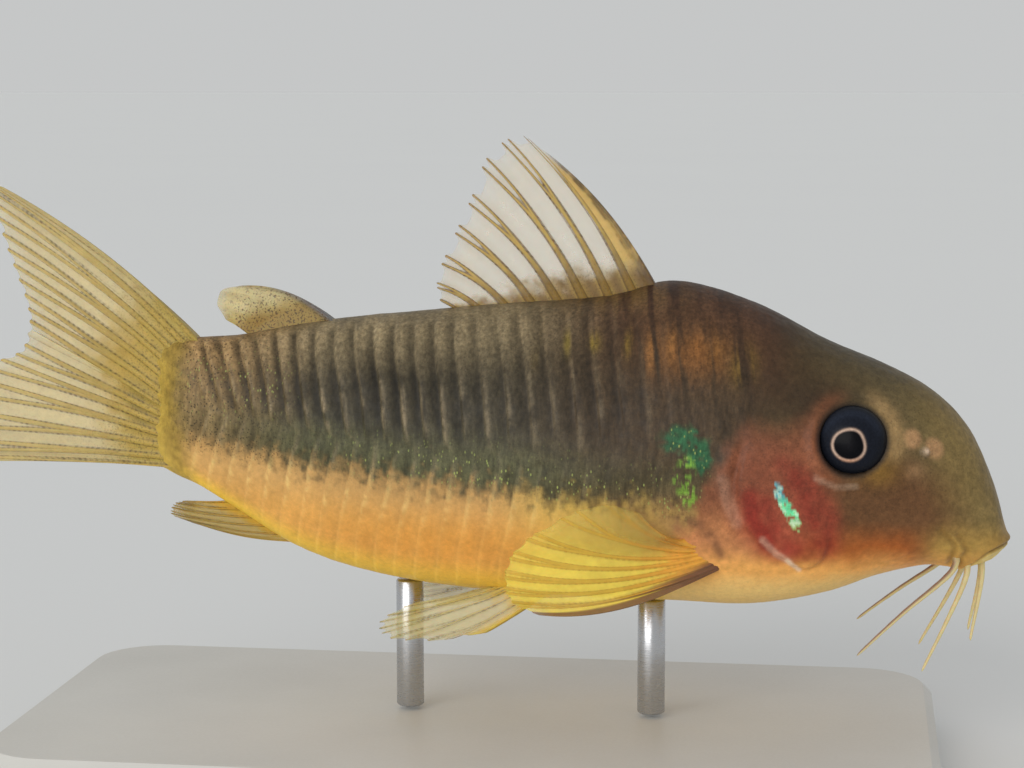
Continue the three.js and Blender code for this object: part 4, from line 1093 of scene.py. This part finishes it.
def build_fin(node, fin, sign, material):
    """A thin fin with a ridge for each ray, and on its points all that its material needs."""
    spaces = fin["rays"] - 1
    u, v = np.linspace(0, 1, spaces * RAY_COLUMNS + 1), np.linspace(0, 1, FIN_ROWS)
    V, U = np.meshgrid(v, u, indexing="ij")
    place = U * spaces
    phase = np.abs(place - np.round(place))
    W = V * (1 - fin["notch"] * (1 - bump(phase - fin["fork"], fin["spike"])))
    P = fin_surface(fin, U, W) * (1, sign, 1)
    spacing = np.maximum(length(np.gradient(P, axis=1)) * RAY_COLUMNS, 0.05)
    fork = fin["fork"] * smooth(W, fin["fork_from"], 1.0)
    off = np.abs(phase - fork) * spacing
    ray_half = mix(*fin["half"], W)
    rayed = smooth(place, 0.15, 0.4) if fin["ray_cover"] else np.zeros_like(U)
    spine = bump(place * spacing, fin["spine_width"] * (1 - 0.4 * W)) * (1 - 0.2 * W)

    ridges = RAY_RISE * bump(off, np.maximum(ray_half, 0.05)) * rayed + SPINE_RISE * fin["spine"] * spine
    half = SKIN_HALF + fin["swell"] * smooth(W, 0.35, 0.05) + ridges * (1 - 0.6 * smooth(W, 0.2, 1.0))
    half = half * (1 - 0.75 * smooth(V, 0.93, 1.0)) + FIN_EDGE
    wave = np.sin(TAU * (place - 0.25)) * 0.07 + np.sin(place * 1.7 + 5 * W) * 0.12
    N = grid_normals(P, False)
    middle = P + N * (wave * smooth(W, 0.3, 0.95))[..., None]
    verts = swim([middle + N * half[..., None], middle - N * half[..., None]]).reshape(-1, 3)

    grain = noise.layers(P * 1.3 + 9, 0.8)
    ray_lengths = length(P[-1] - P[0])
    along = W * ray_lengths
    level = along / (0.8 * ray_lengths.max()) + 0.16 * (grain - 0.5)
    reach = fin["base_reach"] * mix(1, fin["base_rear"], U)
    toward_base = smooth(level, reach, 0.45 * reach)
    membrane, ray, line, base = (srgb(*fin[key]) for key in ("membrane", "ray", "line", "base"))
    halo = fin["halo"] * bump(off, 0.42) * rayed
    cover = mix(fin["cover"], 1.0, np.maximum(0.9 * toward_base, 0.95 * spine))
    marks = {
        "tint": paint(membrane, (0.95 * toward_base, base), (halo, ray)),
        "ray_tint": paint(ray, (0.8 * smooth(level, 1.6 * reach, 0.5 * reach), base)),
        "cover": cover * (1 - 0.4 * smooth(V, 0.85, 1.0)),
        "speckled": 0.0,
        "fade": 1.0,
    }
    fin_markings(node, marks, P, U, W, along, spine, place, spacing, grain)
    rough = 0.9 + 0.2 * grain[..., None]
    colors = {"tint": marks["tint"] * rough, "ray_tint": marks["ray_tint"] * rough, "line_tint": line}
    floats = {
        "place": place, "fork": fork, "half": ray_half, "spacing": spacing, "along": along, "rayed": rayed,
        "cover": marks["cover"], "speckled": marks["speckled"], "solid": fin["solid"],
        "ray_cover": fin["ray_cover"] * marks["fade"], "lined": fin["lined"] * rayed * marks["fade"],
    }
    colors = {key: np.broadcast_to(value, (2, *P.shape)).reshape(-1, 3) for key, value in colors.items()}
    floats = {key: np.broadcast_to(value, (2, *U.shape)).ravel() for key, value in floats.items()}

    quads = grid_faces(*U.shape, False)
    faces = quads.tolist() + (quads[:, ::-1] + U.size).tolist()
    edge = grid_edge(*U.shape)
    for a, b in zip(edge, edge[1:] + edge[:1]):
        faces.append([b, a, a + U.size, b + U.size])
    name = f"{node}_{SIDES[sign]}" if node in PAIRED else node
    piece = new_mesh(f"{name}_membrane", verts, faces, material, colors, floats)
    face_outwards(piece)
    add_piece(piece, "fin", name)


def fin_markings(node, marks, P, U, W, along, spine, place, spacing, grain):
    """Adds what is particular to each fin: its spine, smudges and clear or yellow parts."""
    tint, cover = marks["tint"], marks["cover"]
    if node == "dorsal_fin":
        golden = 0.85 * smooth(place, 1.15, 0.8) * smooth(W, 1.0, 0.7) * smooth(along, 1.8, 3.0)
        brown = np.maximum(spine, 0.8 * bump(place * spacing - 0.55, 0.16) * smooth(grain, 0.3, 0.6))
        brown = 0.95 * brown * (0.4 + 0.6 * smooth(grain, 0.25, 0.5))
        smudge = bump(place - 0.05, 0.4) * bump(W - 0.7, 0.2)
        smudged = 0.7 * smudge * smooth(grain, 0.25, 0.55)
        tint = paint(tint, (golden, DORSAL_GOLD), (brown, DORSAL_BROWN), (smudged, DORSAL_SMUDGE))
        cover = np.maximum(np.maximum(cover, golden), 0.9 * smudge)
        marks["speckled"] = 0.5 * smooth(W, 0.35, 0.1)
    elif node == "adipose_fin":
        tint = paint(tint, (0.85 * spine, ADIPOSE_SPINE), (0.5 * bump(W - 0.8, 0.15), ADIPOSE_BAND))
        marks["speckled"] = 0.8 * smooth(W, 1.0, 0.5) + 0.4
    elif node == "pectoral_fin":
        spine = smooth(spine, 0.25, 0.75)
        brown = mix(SPINE_ROOT, SPINE_TIP, W[..., None])
        shade = 0.7 * bump(W - 0.1, 0.1) * bump(place - 0.8, 1.1)
        rear = smooth(place, 4.0, 7.0)
        pale = 0.7 * rear * smooth(W, 0.1, 0.4)
        tint = paint(tint, (0.95 * spine, brown), (shade, PECTORAL_SHADE), (pale, PECTORAL_REAR))
        cover = cover * (1 - 0.6 * rear * smooth(W, 0.15, 0.5))
        marks["ray_tint"] = paint(marks["ray_tint"], (0.95 * spine, brown))
        marks["fade"] = (1 - 0.85 * smooth(place, 4.5, 7.5) * smooth(W, 0.1, 0.5)) * (1 - 0.8 * spine)
    elif node == "pelvic_fin":
        tint = paint(tint, (0.9 * bump(place, 0.8), PELVIC_YELLOW))
        cover = np.maximum(cover, 0.7 * bump(place, 0.6))
    elif node == "anal_fin":
        tint = paint(tint, (0.7 * spine, ANAL_SPINE))
    else:
        outer = smooth(U if node == "tail_fin_lower" else 1 - U, 0.55, 1.0)
        shade = 0.6 * bump(along - 2.4, 1.0) * bump(np.abs(P[..., 2] - 23.2), 1.6)
        clear = 0.35 * smooth(W, 0.5, 1.0)
        tint = paint(tint, (clear, TAIL_CLEAR), (0.5 * outer, TAIL_OUTER), (shade, TAIL_SHADE))
        cover = np.maximum(cover, 0.8 * outer)
        marks["speckled"] = 0.45 * smooth(W, 0.5, 0.15) + 0.12
    marks["tint"], marks["cover"] = tint, cover


# Barbels

BARBELS = {
    "upper": {"root": (30.4, 2.8, 14.1), "bend": (27.6, 4.0, 11.7), "tip": (24.8, 5.2, 9.2), "radius": 0.33},
    "lower": {"root": (31.4, 2.1, 13.6), "bend": (30.3, 2.9, 10.9), "tip": (28.85, 3.7, 8.0), "radius": 0.31},
    "chin": {"root": (32.5, 0.9, 13.6), "bend": (32.3, 1.2, 11.7), "tip": (31.9, 1.5, 9.6), "radius": 0.29},
}
BARBEL_RINGS, BARBEL_SIDES = 60, 20
BARBEL_TIP_RADIUS = 0.075
BARBEL_INSIDE = 0.7
BARBEL_PALE = srgb(224, 208, 150)
BARBEL_DARK = srgb(122, 88, 82)
BARBEL_ROOT = srgb(190, 158, 86)


def build_barbel(kind, settings, sign, material):
    """A thin tapering feeler that starts inside the head and has a dark upper side."""
    root, bend, tip = (np.array(settings[k]) * (1, sign, 1) for k in ("root", "bend", "tip"))
    into = unit(root - bend) * BARBEL_INSIDE
    t = np.linspace(0, 1, BARBEL_RINGS)
    path = spline_rows([root + into + (-0.2, -0.4 * sign, 1.1), root + 0.3 * into, bend, tip], t * 3)
    path[:, 1] += 0.12 * np.sin(t * 7 + sign) * t
    path[:, 0] += 0.1 * np.sin(t * 5 + 1) * t
    along = unit(np.gradient(path, axis=0))
    across = unit(np.cross(along, (0.2, 1.0, 0.1)))
    over = np.cross(along, across)
    a = np.arange(BARBEL_SIDES) / BARBEL_SIDES * TAU
    radius = mix(settings["radius"], BARBEL_TIP_RADIUS, t**0.6) * (1 + 0.03 * np.sin(t * 70))
    radius[-3:] *= (0.85, 0.6, 0.2)
    rings = np.cos(a)[:, None] * across[:, None] + np.sin(a)[:, None] * over[:, None]
    edge = smooth(rings[..., 2] - 0.4 * rings[..., 0], -0.1, 0.7)
    dark = (0.85 if kind == "upper" else 0.25) * edge
    near_root = 0.6 * smooth(t, 0.35, 0.0)[:, None]
    tint = paint(BARBEL_PALE, (dark, BARBEL_DARK), (near_root, BARBEL_ROOT))
    verts = with_ends(swim(path[:, None] + rings * radius[:, None, None]))
    faces = tube_faces(BARBEL_RINGS, BARBEL_SIDES)
    name = f"{kind}_{SIDES[sign]}"
    barbel = new_mesh(f"feeler_{name}", verts, faces, material, {"tint": with_ends(tint)})
    face_outwards(barbel)
    add_piece(barbel, "barbel", f"barbel_{name}")


# Stand

ROD_SIDES = 64
ROD_CHAMFER = 0.1


def build_rod(node, material):
    """A turned rod in place of its CAD cylinder, with a small chamfer at either end."""
    low, high = (np.array(corner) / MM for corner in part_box(node))
    middle, radius = (low + high) / 2, (high[0] - low[0]) / 2
    chamfer = radius * ROD_CHAMFER
    a = np.arange(ROD_SIDES) / ROD_SIDES * TAU
    rings = []
    for z, inwards in ((low[2], chamfer), (low[2] + chamfer, 0), (high[2] - chamfer, 0), (high[2], chamfer)):
        r = radius - inwards
        x, y = middle[0] + r * np.cos(a), middle[1] + r * np.sin(a)
        rings.append(np.stack([x, y, np.full(ROD_SIDES, z)], -1))
    faces = grid_faces(len(rings), ROD_SIDES, True).tolist()
    faces += [list(range(ROD_SIDES)), [(len(rings) - 1) * ROD_SIDES + k for k in range(ROD_SIDES)]]
    rod = new_mesh(f"{node}_turned", np.vstack(rings), faces, material)
    face_outwards(rod)
    add_piece(rod, "stand_rod", node)


# Floor, light and camera, in metres from here on except for the floor's own mesh

FLOOR_HALF = 20000.0
SUN_PLACE, SUN_AIM = Vector((-0.16, -0.34, 0.12)), Vector((0.0, 0.0, 0.022))
SUN_POWER, SUN_ANGLE, SUN_COLOR = 1.65, math.radians(50), (1.0, 0.985, 0.96)
SKY_POWER, SKY_COLOR = 0.57, (0.985, 1.0, 1.0, 1)
CAMERA_AZIMUTH, CAMERA_ELEVATION = math.radians(8), math.radians(7)
CAMERA_DISTANCE, CAMERA_TARGET = 0.1572, Vector((0.0023, 0, 0.0252))
CAMERA_LENS, CAMERA_SENSOR = 85, 36


def build_floor(material):
    corners = [(-1, -1, 0), (1, -1, 0), (1, 1, 0), (-1, 1, 0)]
    new_mesh("floor", np.array(corners) * FLOOR_HALF, [(0, 1, 2, 3)], material)


def build_studio():
    """A pale, even surround and one soft sun over the camera's left shoulder."""
    world = bpy.data.worlds.new("studio")
    bpy.context.scene.world = world
    world.use_nodes = True
    background = world.node_tree.nodes["Background"]
    background.inputs["Color"].default_value = SKY_COLOR
    background.inputs["Strength"].default_value = SKY_POWER
    sun = bpy.data.lights.new("key", "SUN")
    sun.energy = SUN_POWER
    sun.color = SUN_COLOR
    sun.angle = SUN_ANGLE
    add_object("key", sun, SUN_PLACE, SUN_AIM - SUN_PLACE)


def build_camera():
    level = math.cos(CAMERA_ELEVATION)
    ahead = (-math.sin(CAMERA_AZIMUTH) * level, math.cos(CAMERA_AZIMUTH) * level, -math.sin(CAMERA_ELEVATION))
    data = bpy.data.cameras.new("camera")
    data.lens = CAMERA_LENS
    data.sensor_width = CAMERA_SENSOR
    data.clip_start = 0.005
    data.clip_end = 40
    place = CAMERA_TARGET - Vector(ahead) * CAMERA_DISTANCE
    bpy.context.scene.camera = add_object("camera", data, place, Vector(ahead))


bpy.context.scene.view_settings.view_transform = "Standard"

build_skin(skin_material())

eye_look = eye_material()
for side in (-1, 1):
    build_eye(side, eye_look)

fin_look = fin_material()
for node, fin in FINS.items():
    for sign in SIDES if node in PAIRED else (1,):
        build_fin(node, {**PLAIN_FIN, **fin}, sign, fin_look)

barbel_look = barbel_material()
for kind, settings in BARBELS.items():
    for sign in SIDES:
        build_barbel(kind, settings, sign, barbel_look)

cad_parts["stand_base"].material_slots[0].material = stand_material()
rod_look = rod_material()
for node in ("stand_rod_front", "stand_rod_rear"):
    build_rod(node, rod_look)

build_floor(floor_material())
build_studio()
build_camera()
